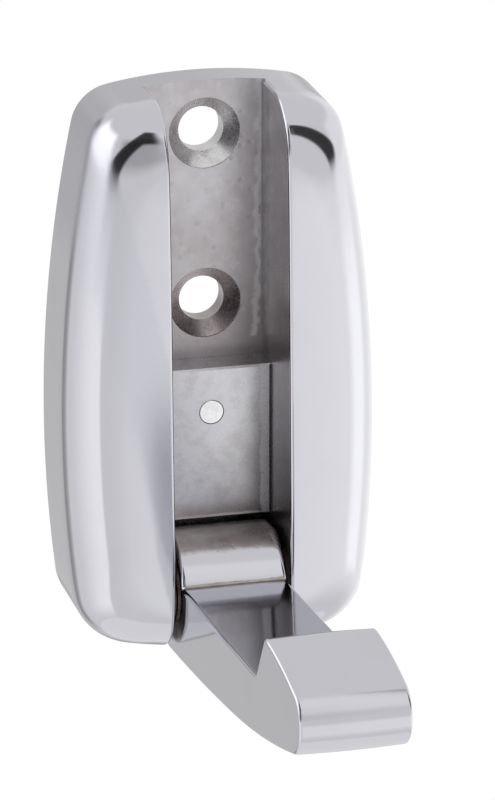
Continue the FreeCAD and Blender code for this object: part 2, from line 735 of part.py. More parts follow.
fill_sheet()
sub_parts = [
    make_housing(),
    make_arm(),
    make_pin(),
    make_washer("washer_left", -1),
    make_washer("washer_right", 1),
    make_block(),
    make_rivet(),
    make_spring(),
]
doc.recompute()
check_document()
write_parts(sub_parts)
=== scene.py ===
"""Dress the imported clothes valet: cast and polished housing, hook arm, block, pin and washers.

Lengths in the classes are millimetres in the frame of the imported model: x to the right, y into
the wall, z up.  Meshes are written in metres.
"""

import itertools
import logging
import math
from collections.abc import Callable
from dataclasses import dataclass
from enum import Enum
from typing import ClassVar

import bmesh
import bpy
import numpy as np
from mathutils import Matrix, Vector
from mathutils.geometry import delaunay_2d_cdt


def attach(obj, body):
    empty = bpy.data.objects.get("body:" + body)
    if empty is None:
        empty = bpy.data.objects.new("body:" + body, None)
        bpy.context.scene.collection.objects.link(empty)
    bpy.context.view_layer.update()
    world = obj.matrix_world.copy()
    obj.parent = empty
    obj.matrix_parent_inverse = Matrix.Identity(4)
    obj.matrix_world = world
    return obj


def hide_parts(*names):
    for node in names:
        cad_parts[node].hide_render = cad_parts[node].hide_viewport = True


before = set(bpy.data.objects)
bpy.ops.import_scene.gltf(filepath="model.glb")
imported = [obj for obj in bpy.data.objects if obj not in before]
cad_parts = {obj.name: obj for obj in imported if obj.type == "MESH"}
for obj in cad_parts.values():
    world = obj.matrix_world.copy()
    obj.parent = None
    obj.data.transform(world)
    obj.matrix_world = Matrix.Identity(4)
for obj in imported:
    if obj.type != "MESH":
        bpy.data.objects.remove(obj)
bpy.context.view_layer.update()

MM = 0.001
PIN_Y, PIN_Z = -12.0, -27.0
SLOPE_STEP = 0.005
APART = 1e-9
ANGLE_STEP = 1e-4
HALVINGS = 50
NEWTON_ROUNDS, NEWTON_STEP = 30, 1e-5
EASE_SAMPLES = 9
STRAIGHT = math.radians(150.0)
CORNER_POINTS = 6
WELD = 0.0005 * MM
Spot = tuple[float, float]
Spot3 = tuple[float, float, float]
Colour = tuple[float, float, float]
Array = np.ndarray
MIRROR = np.array([-1.0, 1.0, 1.0])
SIDES = (np.ones(3), MIRROR)
LEFT, RIGHT = np.array([-1.0, 0.0, 0.0]), np.array([1.0, 0.0, 0.0])
FORWARD, BACKWARD = np.array([0.0, -1.0, 0.0]), np.array([0.0, 1.0, 0.0])
WHITE: Colour = (1.0, 1.0, 1.0)
log = logging.getLogger("valet")


class Zone(Enum):
    """Surface zones of a cast part, each with a material of its own."""

    POLISHED = 0
    CAST = 1
    MACHINED = 2


# ---------------------------------------------------------------- mesh building

def unit(vectors: Array) -> Array:
    """Vectors scaled to length one."""
    return vectors / np.linalg.norm(vectors, axis=-1, keepdims=True)


def closed(loop: Array) -> Array:
    """A loop with its first item repeated at its end."""
    return np.vstack([loop, loop[:1]])


def add_object(name: str, data: bpy.types.ID) -> bpy.types.Object:
    """Put a mesh or a camera into the scene.

    Args:
        name: the object's name.
        data: what it shows.

    Returns:
        The object, at the origin.
    """
    thing = bpy.data.objects.new(name, data)
    bpy.context.scene.collection.objects.link(thing)
    return thing


def bisected(below: Callable[[Array], Array], low: float, high: float,
             shape: tuple[int, ...]) -> Array:
    """Halve a range for every item of an array until it closes on a limit.

    Args:
        below: whether the limit lies below each of the values tried.
        low: the range's low end.
        high: its high end.
        shape: the array's shape.

    Returns:
        The limits.
    """
    lows, highs = np.full(shape, low), np.full(shape, high)
    for _ in range(HALVINGS):
        middle = (lows + highs) / 2
        found = below(middle)
        highs = np.where(found, middle, highs)
        lows = np.where(found, lows, middle)
    return (lows + highs) / 2


class Skin:
    """Gathers the faces of one closed piece, with a normal at every corner of every face.

    Vertices share a number within one cell of a grid, weld millimetres wide.  A place closer to
    a cell's side than the share near also looks for its vertex in the cell beyond.
    """

    weld: ClassVar[float] = 0.001
    near: ClassVar[float] = 0.2
    flat_limit: ClassVar[float] = 1e-6
    inside_only: ClassVar[int] = 1

    def __init__(self) -> None:
        """Start with no faces."""
        self.spots: list[Array] = []
        self.cells: dict[tuple[int, ...], int] = {}
        self.faces: list[list[int]] = []
        self.normals: list[list[Array]] = []
        self.zones: list[Zone] = []

    def index_of(self, spot: Array) -> int:
        """Number of the vertex at a place: one that is there already, or a new one.

        Args:
            spot: the place, in millimetres.

        Returns:
            The vertex's number.
        """
        choices = []
        for value in spot:
            cell = value / self.weld
            base = math.floor(cell + 0.5)
            rest = cell + 0.5 - base
            cells = [base]
            if rest < self.near:
                cells.append(base - 1)
            if rest > 1 - self.near:
                cells.append(base + 1)
            choices.append(cells)
        for key in itertools.product(*choices):
            if key in self.cells:
                return self.cells[key]
        self.cells[tuple(cells[0] for cells in choices)] = len(self.spots)
        self.spots.append(np.array(spot, float))
        return len(self.spots) - 1

    def face(self, corners: list[Array], normals: list[Array], zone: Zone) -> None:
        """Add one face, turned so that it faces the way its normals point.

        Args:
            corners: its corners in order.
            normals: the normal at each corner.
            zone: the surface zone it belongs to.
        """
        numbers, kept = [], []
        for corner, normal in zip(corners, normals):
            number = self.index_of(corner)
            if number not in numbers:
                numbers.append(number)
                kept.append(normal)
        if len(numbers) < 3:
            return
        points = [self.spots[number] for number in numbers]
        across = np.zeros(3)
        for here, there in zip(points, points[1:] + points[:1]):
            across += np.cross(here, there)
        if np.dot(across, sum(kept)) < 0:
            numbers.reverse()
            kept.reverse()
        self.faces.append(numbers)
        self.normals.append(kept)
        self.zones.append(zone)

    def grid(self, points: Array, normals: Array, zone: Zone,
             skip: tuple[int, int, int, int] | None = None) -> None:
        """Add a grid of four cornered faces.

        Args:
            points: rows by columns by 3.
            normals: the normals, in the same order.
            zone: the surface zone.
            skip: first row, last row, first column and last column of a block left open.
        """
        rows, columns = points.shape[:2]
        for row in range(rows - 1):
            for column in range(columns - 1):
                if skip and skip[0] <= row < skip[1] and skip[2] <= column < skip[3]:
                    continue
                cell = ((row, column), (row, column + 1), (row + 1, column + 1), (row + 1, column))
                self.face([points[c] for c in cell], [normals[c] for c in cell], zone)

    def fill(self, outer: Array, holes: list[Array], axis: int, normal: Array,
             zone: Zone) -> None:
        """Fill a flat region between an outer loop and any holes.

        Args:
            outer: the outer loop, points by 3.
            holes: the loops of its holes.
            axis: the axis that the plane is square to.
            normal: the way it faces.
            zone: the surface zone.
        """
        level = outer[0][axis]
        flat_axes = [a for a in range(3) if a != axis]
        flat, edges = [], []
        for loop in [outer, *holes]:
            keep = [p for p, q in zip(loop, np.roll(loop, 1, axis=0))
                    if np.linalg.norm(p - q) > self.weld / 2]
            first = len(flat)
            flat.extend(Vector(p[flat_axes]) for p in keep)
            edges.extend((first + k, first + (k + 1) % len(keep)) for k in range(len(keep)))
        spots, _, faces, *_ = delaunay_2d_cdt(flat, edges, [], self.inside_only,
                                              self.flat_limit)
        openings = [hole[:, flat_axes] for hole in holes]
        for face in faces:
            middle = sum((spots[number] for number in face), Vector((0.0, 0.0))) / len(face)
            if any(encloses(opening, middle) for opening in openings):
                continue
            corners = []
            for number in face:
                corner = np.empty(3)
                corner[axis] = level
                corner[flat_axes] = spots[number]
                corners.append(corner)
            self.face(corners, [normal] * len(corners), zone)

    def ring_wall(self, loops: list[Array], zone: Zone) -> None:
        """Line a hole: join closed loops, each band smooth round the loop and facing its middle.

        Args:
            loops: loops with the same number of points.
            zone: the surface zone.
        """
        for near, far in zip(loops, loops[1:]):
            along = np.roll(near, -1, axis=0) - np.roll(near, 1, axis=0)
            normals = unit(np.cross(along, far - near))
            centre = (near.mean(axis=0) + far.mean(axis=0)) / 2
            middle = (near + far) / 2
            if np.sum(normals * (centre - middle)) < 0:
                normals = -normals
            self.grid(np.stack([closed(near), closed(far)]),
                      np.stack([closed(normals)] * 2), zone)

    def build(self, name: str, materials: dict[Zone, bpy.types.Material]) -> bpy.types.Object:
        """Make the object.

        Args:
            name: its name.
            materials: the material of every zone in use.

        Returns:
            The object, at the origin.
        """
        mesh = bpy.data.meshes.new(name)
        mesh.from_pydata([tuple(s * MM) for s in self.spots], [], self.faces)
        for material in materials.values():
            mesh.materials.append(material)
        order = list(materials)
        mesh.polygons.foreach_set("material_index", [order.index(zone) for zone in self.zones])
        mesh.polygons.foreach_set("use_smooth", [True] * len(mesh.polygons))
        mesh.update()
        normals = [tuple(n) for face in self.normals for n in face]
        mesh.normals_split_custom_set(normals)
        return add_object(name, mesh)


def encloses(loop: Array, spot: Vector) -> bool:
    """Whether a flat closed loop goes round a point.

    Args:
        loop: the loop's points by 2.
        spot: the point.

    Returns:
        True where it does.
    """
    ahead = np.roll(loop, -1, axis=0)
    spans = (loop[:, 1] > spot[1]) != (ahead[:, 1] > spot[1])
    here, there = loop[spans], ahead[spans]
    share = (spot[1] - here[:, 1]) / (there[:, 1] - here[:, 1])
    crossed = here[:, 0] + share * (there[:, 0] - here[:, 0]) > spot[0]
    return bool(np.count_nonzero(crossed) % 2)


def circle(centre: Array, radius: float, axis: int, angles: Array) -> Array:
    """Points of a circle square to an axis.

    Args:
        centre: its centre.
        radius: its radius.
        axis: the axis it is square to.
        angles: the angle of every point.

    Returns:
        The points.
    """
    first, second = [a for a in range(3) if a != axis]
    points = np.tile(np.array(centre, float), (len(angles), 1))
    points[:, first] += radius * np.cos(angles)
    points[:, second] += radius * np.sin(angles)
    return points


def even_angles(count: int) -> Array:
    """Angles that divide a turn evenly."""
    return np.arange(count) * 2 * math.pi / count


# ---------------------------------------------------------------- node trees

class Wiring:
    """Adds nodes to one tree and joins them."""

    def __init__(self, tree: bpy.types.NodeTree) -> None:
        """Keep the tree."""
        self.tree = tree

    def add(self, kind: str, inputs: dict | None = None, **settings: object) -> bpy.types.Node:
        """Add a node.

        Args:
            kind: its type's name.
            inputs: a value or an output socket for each named or numbered input.
            settings: its own attributes.

        Returns:
            The node.
        """
        node = self.tree.nodes.new(kind)
        for label, value in settings.items():
            setattr(node, label, value)
        for label, value in (inputs or {}).items():
            if isinstance(value, bpy.types.NodeSocket):
                self.tree.links.new(value, node.inputs[label])
            else:
                node.inputs[label].default_value = value
        return node

    def place(self) -> bpy.types.NodeSocket:
        """The place on the piece, in metres."""
        return self.add("ShaderNodeTexCoord").outputs["Object"]

    def maths(self, operation: str, *values: object) -> bpy.types.NodeSocket:
        """The result of a Math node on values or sockets."""
        return self.add("ShaderNodeMath", dict(enumerate(values)), operation=operation).outputs[0]

    def ramp(self, value: object, low: object, high: object, start: float = 0.0,
             end: float = 1.0) -> bpy.types.NodeSocket:
        """A value taken smoothly from one range to another.

        Args:
            value: the socket it reads.
            low: where it starts to change.
            high: where it stops changing.
            start: result at the low end.
            end: result at the high end.

        Returns:
            The socket of the result.
        """
        node = self.add("ShaderNodeMapRange", {"Value": value, "From Min": low, "From Max": high,
                                               "To Min": start, "To Max": end},
                        interpolation_type="SMOOTHSTEP")
        return node.outputs[0]

    def window(self, value: object, rise: Spot, fall: Spot) -> bpy.types.NodeSocket:
        """One between two soft limits and nothing outside them.

        Args:
            value: the socket it reads.
            rise: where it starts to grow and where it is full.
            fall: the two ends of where it fades again, in either order.

        Returns:
            The socket of the share.
        """
        return self.maths("MULTIPLY", self.ramp(value, *rise),
                          self.ramp(value, *sorted(fall), 1.0, 0.0))

    def mix(self, share: object, first: object, second: object) -> bpy.types.NodeSocket:
        """A colour mixed from two.

        Args:
            share: how much of the second.
            first: a socket or a colour with cover.
            second: the same.

        Returns:
            The socket of the colour.
        """
        node = self.add("ShaderNodeMix", data_type="RGBA")
        for place, value in ((0, share), (6, first), (7, second)):
            if isinstance(value, bpy.types.NodeSocket):
                self.tree.links.new(value, node.inputs[place])
            else:
                node.inputs[place].default_value = value
        return node.outputs[2]

    def noise(self, where: object, scale: object, detail: float = 2.0, rough: float = 0.5,
              stretch: Spot3 | None = None) -> bpy.types.NodeSocket:
        """A noise value over the piece.

        Args:
            where: the coordinates.
            scale: how many features a metre.
            detail: octaves.
            rough: share of the finer octaves.
            stretch: scale along each axis first, or None.

        Returns:
            The socket of the value.
        """
        if stretch is not None:
            where = self.add("ShaderNodeMapping", {"Vector": where, "Scale": stretch}).outputs[0]
        node = self.add("ShaderNodeTexNoise", {"Vector": where, "Scale": scale, "Detail": detail,
                                               "Roughness": rough})
        return node.outputs[0]


def new_material(name: str) -> tuple[bpy.types.Material, Wiring]:
    """Make a material with an empty tree.

    Args:
        name: its name.

    Returns:
        The material and the wiring of its tree.
    """
    material = bpy.data.materials.new(name)
    material.use_nodes = True
    material.node_tree.nodes.clear()
    return material, Wiring(material.node_tree)


# ---------------------------------------------------------------- revolved pieces

@dataclass(frozen=True)
class Revolve:
    """Geometry Nodes tree that turns a thin sector into a ring and repeats it in a row."""

    segments: int = 64
    crease: float = math.radians(25.0)

    def tree(self) -> bpy.types.NodeTree:
        """Build the tree once, and find it again afterwards.

        Returns:
            The tree.
        """
        name = "revolve_and_repeat"
        if name in bpy.data.node_groups:
            return bpy.data.node_groups[name]
        tree = bpy.data.node_groups.new(name, "GeometryNodeTree")
        tree.is_modifier = True
        sockets = (("Geometry", "Geometry"), ("Segments", "Int"), ("Repeats", "Int"),
                   ("Spacing", "Vector"), ("Turn", "Rotation"), ("Place", "Vector"),
                   ("Finish", "Material"))
        for label, kind in sockets:
            tree.interface.new_socket(label, in_out="INPUT", socket_type=f"NodeSocket{kind}")
        tree.interface.new_socket("Geometry", in_out="OUTPUT", socket_type="NodeSocketGeometry")
        wiring = Wiring(tree)
        given = wiring.add("NodeGroupInput").outputs
        step = wiring.maths("DIVIDE", 2 * math.pi, given["Segments"])
        angle = wiring.maths("MULTIPLY", wiring.add("GeometryNodeInputIndex").outputs[0], step)
        turn = wiring.add("ShaderNodeCombineXYZ", {"Z": angle})
        points = wiring.add("GeometryNodePoints", {"Count": given["Segments"]})
        ring = wiring.add("GeometryNodeInstanceOnPoints",
                          {"Points": points.outputs[0], "Instance": given["Geometry"],
                           "Rotation": turn.outputs[0]})
        whole = wiring.add("GeometryNodeRealizeInstances", {"Geometry": ring.outputs[0]})
        joined = wiring.add("GeometryNodeMergeByDistance",
                            {"Geometry": whole.outputs[0], "Distance": WELD})
        turned = wiring.add("GeometryNodeTransform",
                            {"Geometry": joined.outputs[0], "Rotation": given["Turn"],
                             "Translation": given["Place"]})
        row = wiring.add("GeometryNodeMeshLine",
                         {"Count": given["Repeats"], "Offset": given["Spacing"]})
        copies = wiring.add("GeometryNodeInstanceOnPoints",
                            {"Points": row.outputs[0], "Instance": turned.outputs[0]})
        real = wiring.add("GeometryNodeRealizeInstances", {"Geometry": copies.outputs[0]})
        finish = wiring.add("GeometryNodeSetMaterial",
                            {"Geometry": real.outputs[0], "Material": given["Finish"]})
        wiring.add("NodeGroupOutput", {"Geometry": finish.outputs[0]})
        return tree

    def make(self, name: str, profile: list[Spot], axis: int, place: Spot3,
             finish: bpy.types.Material, repeats: int = 1,
             spacing: Spot3 = (0.0, 0.0, 0.0)) -> bpy.types.Mesh:
        """Revolve a profile and repeat it.

        Args:
            name: the mesh's name.
            profile: distance from the axis and place along it, in order.
            axis: 0 for an axis along x, 1 for one along y.
            place: where the profile's zero lies.
            finish: its material.
            repeats: how many there are.
            spacing: from one to the next.

        Returns:
            The finished mesh, in metres.
        """
        step = 2 * math.pi / self.segments
        spots = [(r * math.cos(a) * MM, r * math.sin(a) * MM, h * MM)
                 for r, h in profile for a in (0.0, step)]
        faces = [(2 * k, 2 * k + 1, 2 * k + 3, 2 * k + 2) for k in range(len(profile) - 1)]
        sector = bpy.data.meshes.new(f"{name}_sector")
        sector.from_pydata(spots, [], faces)
        source = add_object(f"{name}_sector", sector)
        tree = self.tree()
        modifier = source.modifiers.new("revolve", "NODES")
        modifier.node_group = tree
        turn = (0.0, math.pi / 2, 0.0) if axis == 0 else (-math.pi / 2, 0.0, 0.0)
        values = {"Segments": self.segments, "Repeats": repeats, "Turn": turn,
                  "Spacing": [s * MM for s in spacing], "Place": [p * MM for p in place],
                  "Finish": finish}
        for socket in tree.interface.items_tree:
            if socket.in_out == "INPUT" and socket.name in values:
                modifier[socket.identifier] = values[socket.name]
        graph = bpy.context.evaluated_depsgraph_get()
        mesh = bpy.data.meshes.new_from_object(source.evaluated_get(graph))
        mesh.name = name
        bpy.data.objects.remove(source)
        bpy.data.meshes.remove(sector)
        return mesh

    def piece(self, mesh: bpy.types.Mesh) -> bpy.types.Object:
        """Make an object of a revolved mesh, shaded smooth between its creases.

        Args:
            mesh: a closed mesh.

        Returns:
            The object.
        """
        work = bmesh.new()
        work.from_mesh(mesh)
        bmesh.ops.remove_doubles(work, verts=work.verts, dist=WELD)
        bmesh.ops.recalc_face_normals(work, faces=work.faces)
        work.to_mesh(mesh)
        work.free()
        mesh.polygons.foreach_set("use_smooth", [True] * len(mesh.polygons))
        mesh.set_sharp_from_angle(angle=self.crease)
        return add_object(mesh.name, mesh)


# ---------------------------------------------------------------- rule of the housing's outside

@dataclass(frozen=True)
class Barrel:
    """The rule that the housing's outside follows."""

    height: float = 70.0
    half_width: float = 19.3
    widest_level: float = -7.0
    side_radius: float = 178.0
    end_radius: float = 60.0
    top_corner: float = 5.5
    bottom_corner: float = 7.0
    softening: float = 2.0
    soft_inset: float = 7.85
    flank_depth: float = 10.0
    round_radius: float = 7.5
    round_turn: float = math.radians(81.0)
    crown_inset: float = 13.0
    crown_depth: float = 7.85
    tilt: float = math.radians(1.9)
    channel_half: float = 7.2
    floor: float = 4.5
    edge_round: float = 0.45
    least_inset: float = 2.0
    side_limit: float = 7.0
    lean_rounds: int = 12

    @property
    def round_inset(self) -> float:
        """Inset at which the rounding ends and the crowned front starts."""
        return self.round_radius * (1 - math.cos(self.round_turn))

    def corner(self, inset: Array, end: int) -> tuple[Array, Array, Array]:
        """Centre and radius of a corner of the outline.

        Args:
            inset: how far the outline is moved in.
            end: 1 for the top, -1 for the bottom.

        Returns:
            The centre's x and z, and the radius.
        """
        soft = self.softening * np.clip(inset / self.soft_inset, 0.0, 1.0)
        radius = (self.top_corner if end > 0 else self.bottom_corner) + soft
        reach_side = self.side_radius - inset - radius
        reach_end = self.end_radius - inset - radius
        side_x = self.half_width - self.side_radius
        gap_x = -side_x
        gap_z = end * (self.height / 2 - self.end_radius) - self.widest_level
        gap = math.hypot(gap_x, gap_z)
        along = (gap ** 2 + reach_side ** 2 - reach_end ** 2) / (2 * gap)
        across = np.sqrt(reach_side ** 2 - along ** 2)
        ux, uz = gap_x / gap, gap_z / gap
        return (side_x + ux * along - end * uz * across,
                self.widest_level + uz * along + end * ux * across, radius)

    def arcs(self, inset: Array) -> list[tuple[Array, Array, Array]]:
        """Centre and radius of the five arcs of the right half, from the top down.

        Args:
            inset: how far the outline is moved in.

        Returns:
            The centre's x and z and the radius of each arc.
        """
        end_z = self.height / 2 - self.end_radius
        none = 0.0 * inset
        return [(none, none + end_z, self.end_radius - inset), self.corner(inset, 1),
                (none + self.half_width - self.side_radius, none + self.widest_level,
                 self.side_radius - inset), self.corner(inset, -1),
                (none, none - end_z, self.end_radius - inset)]

    def turns(self, inset: Array) -> list[Array]:
        """The outward normal's angle at each joint between the five arcs, from the top down."""
        arcs = self.arcs(inset)
        return [np.arctan2(arcs[corner][1] - arcs[long][1], arcs[corner][0] - arcs[long][0])
                for corner, long in ((1, 0), (1, 2), (3, 2), (3, 4))]

    def outline(self, inset: Array, turn: Array) -> tuple[Array, Array]:
        """Point of the right half of the outline where its normal stands at an angle.

        Args:
            inset: how far the outline is moved in.
            turn: the normal's angle.

        Returns:
            The point's x and z.
        """
        inset, turn = np.broadcast_arrays(np.asarray(inset, float), np.asarray(turn, float))
        tests = [turn >= joint for joint in self.turns(inset)]
        arcs = self.arcs(inset)
        x = [cx + r * np.cos(turn) for cx, cz, r in arcs]
        z = [cz + r * np.sin(turn) for cx, cz, r in arcs]
        return np.select(tests, x[:4], x[4]), np.select(tests, z[:4], z[4])

    def half_width_at(self, level: Array, inset: Array) -> Array:
        """Half width of the outline at a height, for an inset.

        Args:
            level: the height.
            inset: how far the outline is moved in.

        Returns:
            The half width.
        """
        level, inset = np.broadcast_arrays(np.asarray(level, float), np.asarray(inset, float))
        arcs, joints = self.arcs(inset), self.turns(inset)
        marks = [arcs[corner][1] + arcs[corner][2] * np.sin(joint)
                 for corner, joint in zip((1, 1, 3, 3), joints)]
        reach = [cx + np.sqrt(np.maximum(r ** 2 - (level - cz) ** 2, 0.0)) for cx, cz, r in arcs]
        tests = [level >= mark for mark in marks]
        return np.select(tests, reach[:4], reach[4])

    def inset_at(self, x: Array, level: Array) -> Array:
        """Inset of the outline that passes through a point of the front."""
        return bisected(lambda inset: self.half_width_at(level, inset) < x, self.least_inset,
                        self.crown_inset, np.shape(x))

    def rise(self, inset: Array) -> Array:
        """Depth in front of the flank at an inset: the rounding, then the crowned front.

        Args:
            inset: how far the outline is moved in.

        Returns:
            The depth.
        """
        radius, start = self.round_radius, self.round_inset
        depth = radius * math.sin(self.round_turn)
        span = self.crown_inset - start
        slope = span / math.tan(self.round_turn)
        round_part = np.sqrt(np.maximum(radius ** 2 - (radius - inset) ** 2, 0.0))
        u = np.clip((inset - start) / span, 0.0, 1.0)
        gain = self.crown_depth - depth
        crown = depth + slope * u + (3 * gain - 2 * slope) * u ** 2 + (slope - 2 * gain) * u ** 3
        return np.where(inset < start, round_part, crown)

    def placed(self, x: Array, level: Array, depth: Array) -> Array:
        """A point of the outside, with the front's lean."""
        lean = self.tilt * depth / self.crown_depth
        return np.stack([x, -(self.flank_depth + depth - level * np.sin(lean)),
                         level * np.cos(lean)], axis=-1)

    def on_rounding(self, turn: Array, angle: Array) -> Array:
        """Point of the rounding, from the outline's normal and the angle round the edge."""
        x, level = self.outline(self.round_radius * (1 - np.cos(angle)), turn)
        return self.placed(x, level, self.round_radius * np.sin(angle))

    def on_front(self, x: Array, level: Array) -> Array:
        """Point of the crowned front."""
        return self.placed(x, level, self.rise(self.inset_at(x, level)))

    def on_side(self, y: Array, z: Array) -> Array:
        """Point of the right side at a depth and a height.

        Args:
            y: the place off the wall.
            z: the height.

        Returns:
            The point.
        """
        depth = np.zeros(np.shape(y))
        for _ in range(self.lean_rounds):
            lean = self.tilt * depth / self.crown_depth
            level = z / np.cos(lean)
            depth = np.clip(-y - self.flank_depth + level * np.sin(lean), 0.0,
                            self.side_limit)
        inset = self.round_radius - np.sqrt(self.round_radius ** 2 - depth ** 2)
        return np.stack([self.half_width_at(level, inset), y, z], axis=-1)


def slopes(rule: Callable[[Array, Array], Array], first: Array, second: Array,
           outward: Array, step: float = SLOPE_STEP) -> Array:
    """Normals of a surface given by a rule of two numbers.

    Args:
        rule: the function that gives its points.
        first: the first number.
        second: the second number.
        outward: roughly the way the normals point.
        step: how far apart the points are that give the slope.

    Returns:
        The normals.
    """
    one = rule(first + step, second) - rule(first - step, second)
    two = rule(first, second + step) - rule(first, second - step)
    normals = unit(np.cross(one, two))
    facing = np.sum(normals * outward, axis=-1, keepdims=True)
    return normals * np.where(facing < 0, -1.0, 1.0)


def eased(points: Array, normals: Array, axis: int, reach: float) -> Array:
    """Normals averaged along the lines of a grid, so that what the polish mirrors bends softly.

    Args:
        points: the grid's points, in millimetres.
        normals: its normals.
        axis: 0 to go down the columns, 1 to go along the rows.
        reach: how far to each side the average goes; it closes up towards the ends.

    Returns:
        The averaged normals.
    """
    lines, found = np.moveaxis(points, axis, 0), np.moveaxis(normals, axis, 0)
    steps = np.linalg.norm(np.diff(lines, axis=0), axis=-1)
    along = np.concatenate([np.zeros((1, steps.shape[1])), np.cumsum(steps, axis=0)])
    result = np.empty_like(found)
    for line in range(found.shape[1]):
        here = along[:, line]
        span = np.minimum(reach, np.minimum(here, here[-1] - here))
        total = np.zeros((len(here), 3))
        for share in np.linspace(-1.0, 1.0, EASE_SAMPLES):
            total += np.stack([np.interp(here + share * span, here, found[:, line, k])
                               for k in range(3)], axis=-1)
        result[:, line] = unit(total)
    return np.moveaxis(result, 0, axis)


@dataclass(frozen=True)
class HousingCasting:
    """The cast housing: polished outside, cast channel, machined screw seats, cored back."""

    barrel: Barrel = Barrel()
    round_rows: int = 26
    front_columns: int = 12
    segment_counts: tuple[int, ...] = (9, 18, 46, 18, 9)
    edge_steps: int = 6
    flank_rows: tuple[float, ...] = (0.0, 4.5, 7.2, 8.2, 8.8, 9.4)
    block_row: int = 3
    ease_profile: float = 2.0
    ease_outline: float = 3.0
    sliver: float = 0.05
    trim_rounds: int = 4
    mid_columns: int = 10
    hole_points: int = 40
    seat_points: int = 64
    bore_radius: float = 2.02
    mouth_front: float = -15.0
    mouth_levels: Spot = (-30.4, -23.6)
    mouth_rings: tuple[float, ...] = (0.3, 0.6, 0.85, 1.0)
    blind_x: float = -11.2
    screw_levels: tuple[float, float] = (6.75, 28.25)
    screw_radius: float = 2.8
    head_radius: float = 4.45
    head_rim: float = 0.35
    rivet_x: float = -0.3
    rivet_z: float = -5.9
    rivet_radius: float = 1.52
    tail_radius: float = 2.42
    groove_half: float = 4.2
    groove_top: float = -2.4
    groove_step: float = -20.2
    groove_end: float = -29.2
    seat_depth: float = 0.56
    room_depth: float = 1.1
    core_inner: float = 10.2
    core_inset: float = 3.0
    core_depth: float = 12.0
    core_top: float = 25.0
    core_bottom: float = -18.0
    core_corner: float = 1.2
    core_points: int = 24

    def trim(self, angle: Array, end: int) -> Array:
        """Normal's angle where a row of the outside stops at the round of the channel's edge.

        Args:
            angle: the angle round the edge, one for each row.
            end: 1 for the top, -1 for the bottom.

        Returns:
            The outline's normal angle at the end of each row.
        """
        b = self.barrel
        inset = b.round_radius * (1 - np.cos(angle))

        def inside(turn: Array) -> Array:
            """Whether the round's centre would lie over the channel."""
            x, _ = b.outline(inset, end * turn)
            centre = x - b.edge_round * np.cos(turn) * np.cos(angle)
            return centre < b.channel_half + b.edge_round

        return end * bisected(inside, 0.0, math.pi / 2, np.shape(angle))

    def row_turns(self, angles: Array) -> Array:
        """The outline's normal angle at every column of every row.

        Args:
            angles: the angle round the edge of each row.

        Returns:
            The angles, rows by columns.
        """
        b = self.barrel
        inset = b.round_radius * (1 - np.cos(angles))
        top, bottom = self.trim(angles, 1), self.trim(angles, -1)
        joints = b.turns(inset)
        marks = [top, *[np.clip(joint, bottom, top) for joint in joints], bottom]
        columns = [top]
        for start, stop, count in zip(marks, marks[1:], self.segment_counts):
            columns.extend(start + (stop - start) * k / count for k in range(1, count + 1))
        return np.stack(columns, axis=1)

    def outside(self, skin: Skin) -> tuple[Array, Array, Array, Array]:
        """Add both halves of the polished outside.

        Args:
            skin: the skin to add to.

        Returns:
            The right half's trimmed edge, its normals, the ring at the wall, and the bore's
            inner end.
        """
        b = self.barrel
        angles = np.linspace(0.0, b.round_turn, self.round_rows)
        turns = self.row_turns(angles)
        spread = np.broadcast_to(angles[:, None], turns.shape)
        outward = np.stack([np.cos(turns) * np.cos(spread), -np.sin(spread),
                            np.sin(turns) * np.cos(spread)], axis=-1)
        points = b.on_rounding(turns, spread)
        normals = slopes(b.on_rounding, turns, spread, outward, ANGLE_STEP)
        normals[0] = outward[0]
        flank = []
        for depth in self.flank_rows:
            row = points[0].copy()
            row[:, 1] = -depth
            flank.append(row)
        points = np.concatenate([np.stack(flank), points])
        normals = np.concatenate([np.repeat(normals[:1], len(flank), axis=0), normals])
        normals = eased(points, normals, 0, self.ease_profile)
        normals = eased(points, normals, 1, self.ease_outline)
        block = self.mouth_block(points)
        skin.grid(points, normals, Zone.POLISHED, block)
        skin.grid(points * MIRROR, normals * MIRROR, Zone.POLISHED)
        bore = self.bore_mouth(skin, points, normals, block)
        front, front_normals = self.front(points[-1])
        for side in SIDES:
            skin.grid(front * side, front_normals * side, Zone.POLISHED)
        edge = np.concatenate([points[1:, 0], front[1:-1, -1], points[:0:-1, -1]])
        edge_normals = np.concatenate([normals[1:, 0], front_normals[1:-1, -1],
                                       normals[:0:-1, -1]])
        return edge, edge_normals, points[0], bore

    def front(self, contour: Array) -> tuple[Array, Array]:
        """The crowned front of the right half, from the rounding's end to the channel.

        Args:
            contour: the rounding's last row.

        Returns:
            Points and normals, rows from the top down.
        """
        b = self.barrel
        lean = b.tilt * b.rise(np.array(b.round_inset)) / b.crown_depth
        start_x, level = contour[:, 0], contour[:, 2] / math.cos(lean)
        edge_x = np.full(len(level), b.channel_half + b.edge_round)
        for _ in range(self.trim_rounds):
            slope = slopes(b.on_front, edge_x, level, FORWARD)
            edge_x = b.channel_half + b.edge_round * (1 + slope[:, 0])
        shut = start_x - edge_x < self.sliver
        shut[[0, -1]] = True
        edge_x = np.where(shut, start_x, edge_x)
        share = np.linspace(0.0, 1.0, self.front_columns)
        x = start_x[:, None] + (edge_x - start_x)[:, None] * share
        z = np.broadcast_to(level[:, None], x.shape)
        points = b.on_front(x, z)
        points[:, 0] = contour
        points[shut] = contour[shut, None]
        return points, slopes(b.on_front, x, z, FORWARD)

